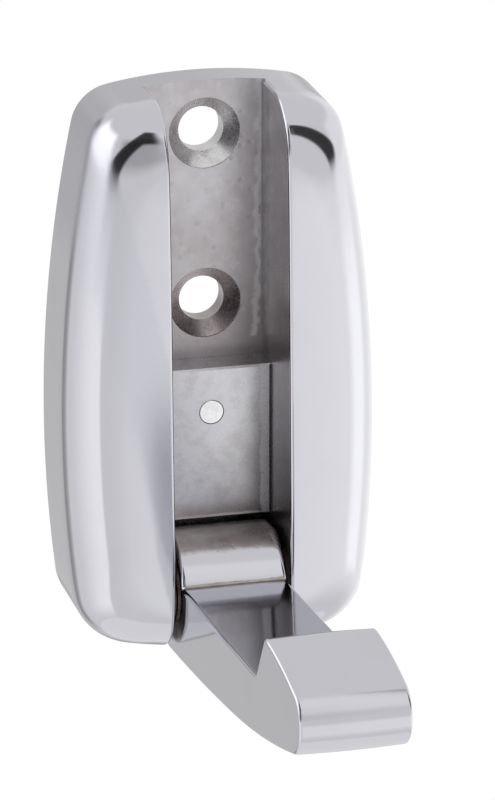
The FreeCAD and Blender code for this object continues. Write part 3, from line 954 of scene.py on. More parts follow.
    def mouth_block(self, points: Array) -> tuple[int, int, int, int]:
        """Rows and columns of the outside that the bore's mouth takes up.

        Args:
            points: the outside's points.

        Returns:
            First row, last row, first column and last column.
        """
        rows = np.where(points[:, points.shape[1] // 2, 1] > self.mouth_front)[0]
        middle = points[len(self.flank_rows)]
        low, high = self.mouth_levels
        columns = np.where((middle[:, 2] < high) & (middle[:, 2] > low)
                           & (middle[:, 0] > self.barrel.half_width / 2))[0]
        return self.block_row, int(rows[-1]) + 1, int(columns[0]), int(columns[-1])

    def bore_mouth(self, skin: Skin, points: Array, normals: Array,
                   block: tuple[int, int, int, int]) -> Array:
        """Close the outside round the mouth of the pin's bore, and line the bore.

        Args:
            skin: the skin to add to.
            points: the outside's points.
            normals: its normals.
            block: the rows and columns that were left open.

        Returns:
            The loop where the bore meets the channel.
        """
        top, low, left, right = block
        path = ([(top, c) for c in range(left, right)] + [(r, right) for r in range(top, low)]
                + [(low, c) for c in range(right, left, -1)]
                + [(r, left) for r in range(low, top, -1)])
        rim = np.array([points[cell] for cell in path])
        rim_normals = np.array([normals[cell] for cell in path])
        angles = np.arctan2(rim[:, 2] - PIN_Z, rim[:, 1] - PIN_Y)
        y = PIN_Y + self.bore_radius * np.cos(angles)
        z = PIN_Z + self.bore_radius * np.sin(angles)
        rings, ring_normals = [rim], [rim_normals]
        easing = rim_normals - slopes(self.barrel.on_side, rim[:, 1], rim[:, 2], RIGHT)
        for share in self.mouth_rings:
            ring_y = rim[:, 1] + (y - rim[:, 1]) * share
            ring_z = rim[:, 2] + (z - rim[:, 2]) * share
            rings.append(self.barrel.on_side(ring_y, ring_z))
            plain = slopes(self.barrel.on_side, ring_y, ring_z, RIGHT)
            ring_normals.append(unit(plain + (1 - share) * easing))
        skin.grid(np.stack([closed(ring) for ring in rings]),
                  np.stack([closed(ring) for ring in ring_normals]), Zone.POLISHED)
        inner = rings[-1].copy()
        inner[:, 0] = self.barrel.channel_half
        skin.ring_wall([rings[-1], inner], Zone.MACHINED)
        return inner

    def channel_edge(self, edge: Array, normals: Array) -> Array:
        """Points of the round along the channel's right edge, edge points by steps.

        Args:
            edge: where the outside stops.
            normals: its normals there.

        Returns:
            Points and normals, stacked.
        """
        b = self.barrel
        centre = edge - b.edge_round * normals
        opening = np.arccos(np.clip(normals @ LEFT, -1.0, 1.0))[:, None]
        rows, row_normals = [], []
        for share in np.linspace(0.0, 1.0, self.edge_steps):
            blend = normals * np.sin((1 - share) * opening) + LEFT * np.sin(share * opening)
            blend = unit(blend / np.sin(opening))
            rows.append(centre + b.edge_round * blend)
            row_normals.append(blend)
        rows[0] = edge
        rows[-1][:, 0] = b.channel_half
        return np.stack([np.stack(rows, axis=1), np.stack(row_normals, axis=1)])

    def build(self, finishes: dict[Zone, bpy.types.Material]) -> bpy.types.Object:
        """Make the housing.

        Args:
            finishes: the material of every zone.

        Returns:
            The piece.
        """
        b = self.barrel
        skin = Skin()
        edge, edge_normals, ring, right_bore = self.outside(skin)
        strip, strip_normals = self.channel_edge(edge, edge_normals)
        for side in SIDES:
            skin.grid(strip * side, strip_normals * side, Zone.POLISHED)
        left_bore = circle((-b.channel_half, PIN_Y, PIN_Z), self.bore_radius, 0,
                           even_angles(self.hole_points))
        wall = strip[:, -1]
        skin.fill(wall, [right_bore], 0, LEFT, Zone.CAST)
        skin.fill(wall * MIRROR, [left_bore], 0, RIGHT, Zone.CAST)
        blind = left_bore.copy()
        blind[:, 0] = self.blind_x
        skin.ring_wall([left_bore, blind], Zone.MACHINED)
        skin.fill(blind, [], 0, RIGHT, Zone.MACHINED)
        top, bottom = self.middle(skin, ring)
        self.floor(skin, strip, top, bottom)
        self.back(skin, ring, top, bottom)
        return skin.build("housing_casting", finishes)

    def middle(self, skin: Skin, ring: Array) -> tuple[Array, Array]:
        """Add the flank over and under the channel floor.

        Args:
            skin: the skin to add to.
            ring: the right half's ring at the wall.

        Returns:
            The points between the right and left halves, at the top and at the bottom.
        """
        b = self.barrel
        found = []
        for end, start in ((1, ring[0]), (-1, ring[-1])):
            x = np.linspace(start[0], -start[0], self.mid_columns)
            rise = end * (b.height / 2 - b.end_radius)
            z = rise + end * np.sqrt(b.end_radius ** 2 - x ** 2)
            line = np.stack([x, 0 * x, z], axis=-1)
            line[[0, -1]] = [start, start * MIRROR]
            normals = unit(np.stack([x, 0 * x, z - rise], axis=-1))
            front = line.copy()
            front[:, 1] = -b.floor
            skin.grid(np.stack([line, front]), np.stack([normals, normals]), Zone.POLISHED)
            found.append(line)
        return found[0], found[1]

    def floor(self, skin: Skin, strip: Array, top: Array, bottom: Array) -> None:
        """Add the channel floor with its screw seats, spring groove and rivet hole.

        Args:
            skin: the skin to add to.
            strip: the round of the channel's right edge.
            top: the middle of the ring at the top.
            bottom: the middle of the ring at the bottom.
        """
        b = self.barrel
        level = np.array([0.0, -b.floor, 0.0])
        upper, lower = strip[0], strip[-1]
        outline = np.concatenate([upper[::-1], top[1:-1] + level, upper * MIRROR,
                                  (lower * MIRROR)[::-1], bottom[-2:0:-1] + level, lower])
        outline[:, 1] = -b.floor
        angles = even_angles(self.seat_points)
        heads = [circle((0.0, -b.floor, z), self.head_radius, 1, angles)
                 for z in self.screw_levels]
        groove = self.box_loop(-b.floor, self.groove_end, self.groove_top)
        skin.fill(outline, [*heads, groove], 1, FORWARD, Zone.CAST)
        self.seats(skin)
        shallow = -b.floor + self.seat_depth
        deep = -b.floor + self.room_depth
        seat = self.box_loop(shallow, self.groove_step, self.groove_top)
        room = self.box_loop(deep, self.groove_end, self.groove_step)
        around = even_angles(self.hole_points)
        rivet = circle((self.rivet_x, shallow, self.rivet_z), self.rivet_radius, 1, around)
        skin.fill(seat, [rivet], 1, FORWARD, Zone.CAST)
        skin.fill(room, [], 1, FORWARD, Zone.CAST)
        half = self.groove_half
        levels = ((self.groove_end, deep), (self.groove_step, deep), (self.groove_step, shallow),
                  (self.groove_top, shallow))
        for side in (1.0, -1.0):
            loop = [(side * half, y, z) for z, y in levels]
            loop += [(side * half, -b.floor, z) for z in (self.groove_top, self.groove_end)]
            skin.fill(np.array(loop), [], 0, side * LEFT, Zone.CAST)
        for z, near, far, way in ((self.groove_end, -b.floor, deep, 1.0),
                                  (self.groove_top, -b.floor, shallow, -1.0),
                                  (self.groove_step, shallow, deep, -1.0)):
            corners = [np.array(c) for c in ((-half, near, z), (half, near, z), (half, far, z),
                                             (-half, far, z))]
            skin.face(corners, [np.array([0.0, 0.0, way])] * 4, Zone.CAST)
        flare = self.tail_radius - self.rivet_radius
        loops = [circle((self.rivet_x, y, self.rivet_z), r, 1, around)
                 for y, r in ((shallow, self.rivet_radius), (-flare, self.rivet_radius),
                              (0.0, self.tail_radius))]
        skin.ring_wall(loops, Zone.MACHINED)

    def box_loop(self, y: float, low: float, high: float) -> Array:
        """Corners of the spring groove at a depth."""
        half = self.groove_half
        return np.array([(-half, y, low), (half, y, low), (half, y, high), (-half, y, high)])

    def seats(self, skin: Skin) -> None:
        """Line both screw holes, with their countersinks.

        Args:
            skin: the skin to add to.
        """
        rim = self.head_rim - self.barrel.floor
        foot = rim + self.head_radius - self.screw_radius
        profile = ((self.head_radius, -self.barrel.floor), (self.head_radius, rim),
                   (self.screw_radius, foot), (self.screw_radius, 0.0))
        angles = even_angles(self.seat_points)
        for level in self.screw_levels:
            skin.ring_wall([circle((0.0, y, level), radius, 1, angles) for radius, y in profile],
                           Zone.MACHINED)

    def back(self, skin: Skin, ring: Array, top: Array, bottom: Array) -> None:
        """Add the back with its holes and cored pockets.

        Args:
            skin: the skin to add to.
            ring: the right half's ring at the wall.
            top: the middle of the ring at the top.
            bottom: the middle of the ring at the bottom.
        """
        outline = np.concatenate([ring, bottom[1:-1], (ring * MIRROR)[::-1], top[-2:0:-1]])
        holes = [circle((0.0, 0.0, z), self.screw_radius, 1, even_angles(self.seat_points))
                 for z in self.screw_levels]
        holes.append(circle((self.rivet_x, 0.0, self.rivet_z), self.tail_radius, 1,
                            even_angles(self.hole_points)))
        core = self.core_outline()
        for side in SIDES:
            loop = core * side
            deep = loop - np.array([0.0, self.core_depth, 0.0])
            holes.append(loop)
            skin.ring_wall([loop, deep], Zone.CAST)
            skin.fill(deep, [], 1, BACKWARD, Zone.CAST)
        skin.fill(outline, holes, 1, BACKWARD, Zone.CAST)

    def core_outline(self) -> Array:
        """Outline of the right pocket, with rounded corners.

        Returns:
            Its points, at the wall.
        """
        b = self.barrel
        radius = b.side_radius - self.core_inset
        centre_x = b.half_width - b.side_radius

        def outer(level: float) -> float:
            """Reach of the pocket's curved side at a height."""
            return centre_x + math.sqrt(radius ** 2 - (level - b.widest_level) ** 2)

        levels = np.linspace(self.core_bottom, self.core_top, self.core_points)
        raw = [(self.core_inner, self.core_top), (self.core_inner, self.core_bottom)]
        raw += [(outer(level), level) for level in levels]
        spots = []
        for here, spot in enumerate(raw):
            before, after = raw[here - 1], raw[(here + 1) % len(raw)]
            spots.extend(rounded_corner(before, spot, after, self.core_corner))
        return np.array([(x, 0.0, z) for x, z in spots])


def rounded_corner(before: Spot, spot: Spot, after: Spot, radius: float) -> list[Spot]:
    """Points that round one corner of a polygon, or the corner itself where it is nearly straight.

    Args:
        before: the point before it.
        spot: the corner.
        after: the point after it.
        radius: the round's radius.

    Returns:
        The points.
    """
    corner = np.array(spot)
    back, ahead = unit(np.array(before) - corner), unit(np.array(after) - corner)
    opening = math.acos(float(np.clip(back @ ahead, -1.0, 1.0)))
    if opening > STRAIGHT:
        return [spot]
    reach = radius / math.tan(opening / 2)
    start, stop = corner + back * reach, corner + ahead * reach
    centre = corner + unit(back + ahead) * radius / math.sin(opening / 2)
    points = []
    for share in np.linspace(0.0, 1.0, CORNER_POINTS):
        points.append(centre + unit(start + (stop - start) * share - centre) * radius)
    return [tuple(p) for p in points]


# ---------------------------------------------------------------- hook arm

@dataclass(frozen=True)
class Run:
    """One line or arc of the arm's side view, walked with the metal on its left.

    A run without a centre is a line.
    """

    start: Spot
    end: Spot
    centre: Spot | None = None
    radius: float = 0.0
    first: float = 0.0
    sweep: float = 0.0

    @staticmethod
    def arc(start: Spot, middle: Spot, end: Spot) -> "Run":
        """A run along the arc through three points.

        Args:
            start: where it starts.
            middle: a point on it.
            end: where it ends.

        Returns:
            The run.
        """
        ax, ay = start
        bx, by = middle
        cx, cy = end
        scale = 2 * (ax * (by - cy) + bx * (cy - ay) + cx * (ay - by))
        squares = (ax ** 2 + ay ** 2, bx ** 2 + by ** 2, cx ** 2 + cy ** 2)
        ux = (squares[0] * (by - cy) + squares[1] * (cy - ay) + squares[2] * (ay - by)) / scale
        uy = (squares[0] * (cx - bx) + squares[1] * (ax - cx) + squares[2] * (bx - ax)) / scale
        first = math.atan2(ay - uy, ax - ux)
        last = math.atan2(cy - uy, cx - ux)
        across = (bx - ax) * (cy - ay) - (by - ay) * (cx - ax)
        sweep = (last - first) % (2 * math.pi)
        if across < 0:
            sweep -= 2 * math.pi
        return Run(start, end, (ux, uy), math.hypot(ax - ux, ay - uy), first, sweep)

    @property
    def length(self) -> float:
        """Length of the run."""
        straight = math.dist(self.start, self.end)
        return straight if self.centre is None else abs(self.sweep) * self.radius

    def at(self, distance: float) -> tuple[Array, Array]:
        """Point and outward normal at a distance along the run.

        Args:
            distance: how far from its start.

        Returns:
            The point and the normal.
        """
        if self.centre is None:
            way = unit(np.array(self.end) - np.array(self.start))
            return np.array(self.start) + way * distance, np.array([way[1], -way[0]])
        sign = math.copysign(1.0, self.sweep)
        angle = self.first + sign * distance / self.radius
        radial = np.array([math.cos(angle), math.sin(angle)])
        return np.array(self.centre) + self.radius * radial, sign * radial

    def cut(self, near: float, far: float) -> "Run":
        """The run with lengths taken off both of its ends.

        Args:
            near: the length off its start.
            far: the length off its end.

        Returns:
            The shorter run.
        """
        start, _ = self.at(near)
        end, _ = self.at(self.length - far)
        if self.centre is None:
            return Run(tuple(start), tuple(end))
        sign = math.copysign(1.0, self.sweep)
        return Run(tuple(start), tuple(end), self.centre, self.radius,
                   self.first + sign * near / self.radius,
                   self.sweep - sign * (near + far) / self.radius)


def rounded_runs(runs: list[Run], radii: tuple[float, ...]) -> list[Run]:
    """Round every corner of a closed side view.

    Args:
        runs: its lines and arcs in order.
        radii: the round's radius at the end of each run.

    Returns:
        The shortened runs and the rounds between them, in order.
    """
    cuts = [[0.0, 0.0] for _ in runs]
    rounds = []
    for here, (run, radius) in enumerate(zip(runs, radii)):
        there = (here + 1) % len(runs)
        following = runs[there]
        _, before = run.at(run.length)
        _, after = following.at(0.0)
        bend = math.atan2(before[0] * after[1] - before[1] * after[0], float(before @ after))
        side = 1.0 if bend > 0 else -1.0
        back = ahead = radius * math.tan(abs(bend) / 2)

        def gap(back: float, ahead: float) -> Array:
            """How far apart the two candidate centres are."""
            p, n = run.at(run.length - back)
            q, m = following.at(ahead)
            return (p - side * radius * n) - (q - side * radius * m)

        h = NEWTON_STEP
        for _ in range(NEWTON_ROUNDS):
            miss = gap(back, ahead)
            slope = np.stack([(gap(back + h, ahead) - miss) / h,
                              (gap(back, ahead + h) - miss) / h], axis=1)
            change = np.linalg.solve(slope, -miss)
            back, ahead = back + change[0], ahead + change[1]
        p, n = run.at(run.length - back)
        q, m = following.at(ahead)
        centre = p - side * radius * n
        first = math.atan2(*(p - centre)[::-1])
        turn = math.atan2(n[0] * m[1] - n[1] * m[0], float(n @ m))
        cuts[here][1], cuts[there][0] = back, ahead
        rounds.append(Run(tuple(p), tuple(q), tuple(centre), radius, first, turn))
    result = []
    for run, (near, far), corner in zip(runs, cuts, rounds):
        result.extend((run.cut(near, far), corner))
    return result


def along_runs(first: float, ends: tuple[float, ...]) -> list[Spot]:
    """Spread a size along a closed side view; it changes on the runs and the last corner.

    Args:
        first: the size where the first run starts.
        ends: the size at the end of each run.

    Returns:
        The sizes at the start and the end of each run and of the corner after it.
    """
    pairs = []
    for before, here in zip((first, *ends), ends):
        pairs.extend(((before, here), (here, here)))
    pairs[-1] = (ends[-1], first)
    return pairs


@dataclass(frozen=True)
class HookArm:
    """The cast hook arm: knuckle, arm and upturned tip, polished but for two rough places.

    The side view's points are given along the arm and above the pin's axis.  Its runs go round
    from the knuckle's front: knuckle, flat, knuckle, flat, step, toe, toe's end, heel, belly,
    sweep, nose, tip's face, ridge's back and upper face.  The rounds and the crown's shares
    follow that order.
    """

    width: float = 13.2
    rise: float = math.radians(5.5)
    knuckle: float = 7.35
    flat: float = 7.0
    top: float = 1.1
    neck: float = 1.8
    bottom: float = 8.0
    heel: float = 8.1
    heel_drop: float = 3.5
    heel_step: float = 2.6
    toe: float = 7.45
    bore_radius: float = 2.05
    bore_points: int = 48
    belly_middle: Spot = (15.0, -7.8)
    belly_end: Spot = (30.0, -7.2)
    sweep_middle: Spot = (44.5, -5.875)
    sweep_end: Spot = (59.0, -3.45)
    nose_middle: Spot = (62.2, 0.125)
    nose_top: Spot = (60.8, 3.7)
    face_middle: Spot = (53.85, 5.9)
    ridge: Spot = (46.9, 7.1)
    valley: float = 42.4
    rounds: tuple[float, ...] = (1.0, 1.0, 1.0, 0.3, 0.3, 0.3, 1.5, 8.0, 1.6, 3.2, 1.1, 1.2, 0.25)
    edge: float = 0.6
    hidden_edge: float = 0.25
    tip_edge: float = 0.4
    crown: float = 0.14
    crown_shares: tuple[float, ...] = (0, 0, 0, 0, 0, 0, 0, 0.5, 1, 1, 1, 0.3, 0.3)
    run_step: float = 1.5
    turn_step: float = math.radians(5.0)
    edge_steps: int = 6
    across: int = 9
    face_start: float = 45.9
    face_fade: float = 2.2
    face_lean: float = math.radians(56.0)
    face_limit: float = math.radians(100.0)
    face_share: float = 0.8
    nose_ease: float = 4.2
    nose_fade: float = 4.0
    nose_samples: int = 15
    sample: float = 0.15

    def turned(self, along: float, above: float) -> Spot:
        """A point given along the arm, in the side view."""
        c, s = math.cos(self.rise), math.sin(self.rise)
        return (along * c - above * s, along * s + above * c)

    def runs(self) -> list[Run]:
        """Lines and arcs of the side view.

        Returns:
            The runs in order.
        """
        half_flat = math.sqrt(self.knuckle ** 2 - self.flat ** 2)
        front = math.sqrt(self.knuckle ** 2 - self.neck ** 2)
        t = self.turned
        front_angle = (math.atan2(self.neck, front) + math.atan2(self.flat, half_flat)) / 2
        front_middle = t(self.knuckle * math.cos(front_angle), self.knuckle * math.sin(front_angle))
        back_start, back_end = t(-half_flat, self.flat), (-self.flat, half_flat)
        back_angle = math.atan2(back_start[1] + back_end[1], back_start[0] + back_end[0])
        back_middle = (self.knuckle * math.cos(back_angle), self.knuckle * math.sin(back_angle))
        step_level = -self.heel_step + self.toe - self.flat
        toe_corner = (-self.toe, -self.heel_drop)
        heel_angle = (math.atan2(toe_corner[1], toe_corner[0]) - math.pi / 2) / 2
        heel_middle = (self.heel * math.cos(heel_angle), self.heel * math.sin(heel_angle))
        under, belly, sweep = t(0.0, -self.bottom), t(*self.belly_end), t(*self.sweep_end)
        nose, ridge, valley = t(*self.nose_top), t(*self.ridge), t(self.valley, self.top)
        return [
            Run.arc(t(front, self.neck), front_middle, t(half_flat, self.flat)),
            Run(t(half_flat, self.flat), back_start),
            Run.arc(back_start, back_middle, back_end),
            Run(back_end, (-self.flat, step_level)),
            Run((-self.flat, step_level), (-self.toe, -self.heel_step)),
            Run((-self.toe, -self.heel_step), toe_corner),
            Run.arc(toe_corner, heel_middle, under),
            Run.arc(under, t(*self.belly_middle), belly),
            Run.arc(belly, t(*self.sweep_middle), sweep),
            Run.arc(sweep, t(*self.nose_middle), nose),
            Run.arc(nose, t(*self.face_middle), ridge),
            Run(ridge, valley),
            Run(valley, t(front, self.neck)),
        ]

    def edge_rounds(self) -> list[Spot]:
        """Round of the long edges at the start and the end of each run and of each corner."""
        wide, thin, tip = self.edge, self.hidden_edge, self.tip_edge
        return along_runs(wide, (wide, wide, thin, thin, thin, thin, wide, wide, tip, tip, tip,
                                 tip, wide))

    def crowns(self) -> list[Spot]:
        """How far the sides fall back at the start and end of each run and of each corner."""
        return along_runs(0.0, tuple(self.crown * share for share in self.crown_shares))

    def mirrored(self, runs: list[Run]) -> Callable[[int, float], Array]:
        """The side view's normals as the polish shows them.

        Args:
            runs: the side view's runs and rounds.

        Returns:
            A function of a run's number and a share of its length, which gives the normal.
        """
        starts = np.concatenate([[0.0], np.cumsum([run.length for run in runs])])
        along, turns, outward = [], [], []
        for start, run in zip(starts, runs):
            count = max(3, math.ceil(run.length / self.sample))
            for share in np.linspace(0.0, 1.0, count):
                spot, normal = run.at(run.length * share)
                along.append(start + run.length * share)
                turns.append(math.atan2(normal[1], normal[0]))
                outward.append(spot[0])
        along, outward, turns = np.array(along), np.array(outward), np.unwrap(turns)
        along = along + np.arange(len(along)) * APART
        base = turns[np.argmax(outward)]
        tip = self.face_start + self.face_fade
        weight = np.clip((outward - self.face_start) / self.face_fade, 0.0, 1.0)
        leaning = (turns - base > self.face_lean) & (turns - base < self.face_limit)
        turns = turns - np.where(leaning, weight, 0.0) * (
            (turns - base - self.face_lean) * self.face_share)

        def normal_at(place: int, share: float) -> Array:
            """Normal at a share of a run, averaged over the nose."""
            run = runs[place]
            here = starts[place] + run.length * share
            spot, plain = run.at(run.length * share)
            reach = self.nose_ease * min(max((spot[0] - tip) / self.nose_fade, 0.0), 1.0)
            if spot[0] < self.face_start:
                return plain
            around = here + reach * np.linspace(-1.0, 1.0, self.nose_samples)
            turn = np.interp(around, along, turns).mean()
            return np.array([math.cos(turn), math.sin(turn)])

        return normal_at

    def build(self, finishes: dict[Zone, bpy.types.Material]) -> bpy.types.Object:
        """Make the arm.

        Args:
            finishes: the polished and machined materials.

        Returns:
            The piece.
        """
        skin = Skin()
        runs = rounded_runs(self.runs(), self.rounds)
        outlines = []
        mirrored = self.mirrored(runs)
        for place, (run, edges, crowns) in enumerate(zip(runs, self.edge_rounds(),
                                                         self.crowns())):
            count = max(1, math.ceil(abs(run.sweep) / self.turn_step),
                        math.ceil(run.length / self.run_step))
            shares = np.linspace(0.0, 1.0, count + 1)
            rows = [self.row(run.at(run.length * share)[0], mirrored(place, share),
                             edges[0] + (edges[1] - edges[0]) * share,
                             crowns[0] + (crowns[1] - crowns[0]) * share) for share in shares]
            points = np.stack([row[0] for row in rows])
            normals = np.stack([row[1] for row in rows])
            skin.grid(points, normals, Zone.POLISHED)
            outlines.append(points[:-1, 0])
        outline = np.concatenate(outlines)
        for side in SIDES:
            bore = circle((side[0] * self.width / 2, PIN_Y, PIN_Z), self.bore_radius, 0,
                          even_angles(self.bore_points))
            skin.fill(outline * side, [bore], 0, side[0] * RIGHT, Zone.POLISHED)
        skin.ring_wall([bore, bore * MIRROR], Zone.MACHINED)
        return skin.build("hook_casting", finishes)

    def row(self, spot: Array, normal: Array, edge: float, crown: float) -> tuple[Array, Array]:
        """One row of points across the arm.

        Args:
            spot: the point of the side view.
            normal: its outward normal.
            edge: round of the long edges here.
            crown: how far the sides fall back here.

        Returns:
            Points and normals from right to left.
        """
        half = self.width / 2
        stations = []
        for share in range(self.edge_steps):
            angle = math.pi / 2 * share / self.edge_steps
            stations.append((half - edge * (1 - math.cos(angle)), edge * (1 - math.sin(angle)),
                             math.cos(angle)))
        for x in np.linspace(half - edge, 0.0, self.across // 2 + 1):
            stations.append((x, 0.0, 0.0))
        points, normals = [], []
        for x, back, side in stations:
            fall = back + crown * (x / half) ** 2
            slope = crown * x / half ** 2
            u, v = spot - normal * fall
            points.append((x, PIN_Y - u, PIN_Z + v))
            across = side + slope * math.sqrt(1 - side ** 2)
            up = math.sqrt(max(0.0, 1 - min(1.0, across) ** 2))
            normals.append((across, -normal[0] * up, normal[1] * up))
        right, right_normals = np.array(points), unit(np.array(normals))
        return (np.concatenate([right, (right * MIRROR)[-2::-1]]),
                np.concatenate([right_normals, (right_normals * MIRROR)[-2::-1]]))


# ---------------------------------------------------------------- finishes

def rgba(colour: Colour) -> tuple[float, float, float, float]:
    """A colour with full cover."""
    return (*colour, 1.0)


class Effect(Enum):
    """Shared surface effects, each a node group of its own."""

    POLISH = "polish_marks"
    PITS = "casting_pits"
    STAIN = "handling_stain"
    TOOLING = "tool_marks"


class EffectGroups:
    """Builds each shared effect once and hands it out.

    Every maker takes the tree's wiring, the sockets of its inputs and the place on the piece.
    It returns the sockets of the effect's two outputs.
    """

    sockets: ClassVar[dict[Effect, tuple[dict[str, float], tuple[str, ...]]]] = {
        Effect.POLISH: ({"Waves": 160.0, "Scratches": 900.0, "Wave Height": 1.0,
                         "Scratch Height": 1.0}, ("Height", "Haze")),
        Effect.PITS: ({"Size": 900.0, "Cover": 0.35, "Grain": 2500.0}, ("Height", "Mask")),
        Effect.STAIN: ({"Size": 180.0, "Cover": 0.5, "Softness": 0.12}, ("Mask", "Fine")),
        Effect.TOOLING: ({"Pitch": 2600.0, "Wobble": 3.0}, ("Height", "Mask")),
    }
    long_marks: ClassVar[Spot] = (0.60, 0.72)
    cross_marks: ClassVar[Spot] = (0.64, 0.74)
    long_stretch: ClassVar[Spot3] = (1.0, 1.0, 0.05)
    cross_stretch: ClassVar[Spot3] = (0.06, 1.0, 1.3)
    marked: ClassVar[Spot] = (0.45, 0.7)
    marked_size: ClassVar[float] = 260.0
    pit_rim: ClassVar[Spot] = (0.12, 0.42)
    grain_share: ClassVar[float] = 0.35
    swell_size: ClassVar[float] = 0.35
    fine_size: ClassVar[float] = 6.0
    tooled: ClassVar[Spot] = (0.42, 0.62)
    tooled_size: ClassVar[float] = 500.0

    def __init__(self) -> None:
        """Build every group."""
        makers = {Effect.POLISH: self.polish, Effect.PITS: self.pits, Effect.STAIN: self.stain,
                  Effect.TOOLING: self.tooling}
        self.trees = {}
        for effect, (inputs, outputs) in self.sockets.items():
            tree = bpy.data.node_groups.new(effect.value, "ShaderNodeTree")
            for label, value in inputs.items():
                socket = tree.interface.new_socket(label, in_out="INPUT",
                                                   socket_type="NodeSocketFloat")
                socket.default_value = value
            for label in outputs:
                tree.interface.new_socket(label, in_out="OUTPUT", socket_type="NodeSocketFloat")
            wiring = Wiring(tree)
            given = wiring.add("NodeGroupInput").outputs
            results = makers[effect](wiring, given, wiring.place())
            wiring.add("NodeGroupOutput", dict(zip(outputs, results)))
            self.trees[effect] = tree

    def polish(self, w: Wiring, given: object, where: object) -> tuple[object, object]:
        """Faint waves left under a mirror polish, and hairline scratches."""
        waves = w.noise(where, given["Waves"], 2.0, 0.45)
        long_marks = w.noise(where, given["Scratches"], 3.0, 0.6, self.long_stretch)
        cross_marks = w.noise(where, given["Scratches"], 3.0, 0.6, self.cross_stretch)
        lines = w.maths("ADD", w.ramp(long_marks, *self.long_marks),
                        w.ramp(cross_marks, *self.cross_marks))
        patches = w.ramp(w.noise(where, self.marked_size), *self.marked)
        marks = w.maths("MULTIPLY", lines, patches)
        height = w.maths("SUBTRACT", w.maths("MULTIPLY", waves, given["Wave Height"]),
                         w.maths("MULTIPLY", marks, given["Scratch Height"]))
        return height, marks

    def pits(self, w: Wiring, given: object, where: object) -> tuple[object, object]:
        """Round pits of different sizes over a fine grain, as sand or a worn die leaves them."""
        cells = w.add("ShaderNodeTexVoronoi", {"Vector": where, "Scale": given["Size"]})
        chosen = w.maths("LESS_THAN", w.add("ShaderNodeSeparateColor",
                         {"Color": cells.outputs["Color"]}).outputs[0], given["Cover"])
        bowl = w.ramp(cells.outputs["Distance"], *self.pit_rim, 1.0, 0.0)
        mask = w.maths("MULTIPLY", bowl, chosen)
        grain = w.noise(where, given["Grain"], 3.0, 0.65)
        swell = w.noise(where, w.maths("MULTIPLY", given["Size"], self.swell_size), 3.0, 0.55)
        rough = w.maths("ADD", w.maths("MULTIPLY", grain, self.grain_share), swell)
        return w.maths("SUBTRACT", rough, mask), mask

    def stain(self, w: Wiring, given: object, where: object) -> tuple[object, object]:
        """Blotches of oxide and dried polish, with finer specks inside them."""
        broad = w.noise(where, given["Size"], 5.0, 0.62)
        low = w.maths("SUBTRACT", given["Cover"], given["Softness"])
        high = w.maths("ADD", given["Cover"], given["Softness"])
        fine = w.noise(where, w.maths("MULTIPLY", given["Size"], self.fine_size), 4.0, 0.7)
        return w.ramp(broad, low, high), fine

    def tooling(self, w: Wiring, given: object, where: object) -> tuple[object, object]:
        """Close, slightly wandering lines from a cutter."""
        lines = w.add("ShaderNodeTexWave", {"Vector": where, "Scale": given["Pitch"],
                                            "Distortion": given["Wobble"], "Detail": 2.0,
                                            "Detail Scale": 1.5}, bands_direction="DIAGONAL")
        mask = w.ramp(w.noise(where, self.tooled_size, 3.0, 0.6), *self.tooled)
        return w.maths("MULTIPLY", lines.outputs[1], mask), mask


@dataclass(frozen=True)
class Shade:
    """A part of a piece that is darker, lighter or rougher, between two soft limits.

    A place reads way . (x, y, z) in millimetres.  The limits are left ragged by so many
    millimetres, and a box keeps the shade to one part.
    """

    beyond: ClassVar[Spot] = (90.0, 91.0)
    wander: ClassVar[float] = 420.0
    soft: ClassVar[float] = 0.2
    way: Spot3
    rise: Spot
    colour: Colour
    share: float
    fall: Spot = beyond
    ragged: float = 0.0
    rough: float = 0.0
    box: tuple[Spot3, Spot3] | None = None

    def mask(self, w: Wiring, where: object) -> bpy.types.NodeSocket:
        """How much of the shade a place takes.

        Args:
            w: the wiring of the material's tree.
            where: socket of the place.

        Returns:
            The socket of the share.
        """
        place = w.add("ShaderNodeVectorMath", {0: where, 1: tuple(1000.0 * k for k in self.way)},
                      operation="DOT_PRODUCT").outputs["Value"]
        if self.ragged:
            wander = w.maths("SUBTRACT", w.noise(where, self.wander, 4.0, 0.6), 0.5)
            place = w.maths("MULTIPLY_ADD", wander, self.ragged, place)
        share = w.window(place, self.rise, self.fall)
        if self.box is not None:
            axes = w.add("ShaderNodeSeparateXYZ", {0: where}).outputs
            for axis, low, high in zip(axes, *self.box):
                limits = [((end - self.soft) * MM, (end + self.soft) * MM) for end in (low, high)]
                share = w.maths("MULTIPLY", share, w.window(axis, *limits))
        return w.maths("MULTIPLY", share, self.share)


@dataclass(frozen=True)
class Look:
    """The sockets that make up a finish before its shader."""

    colour: object
    rough: object
    relief: object


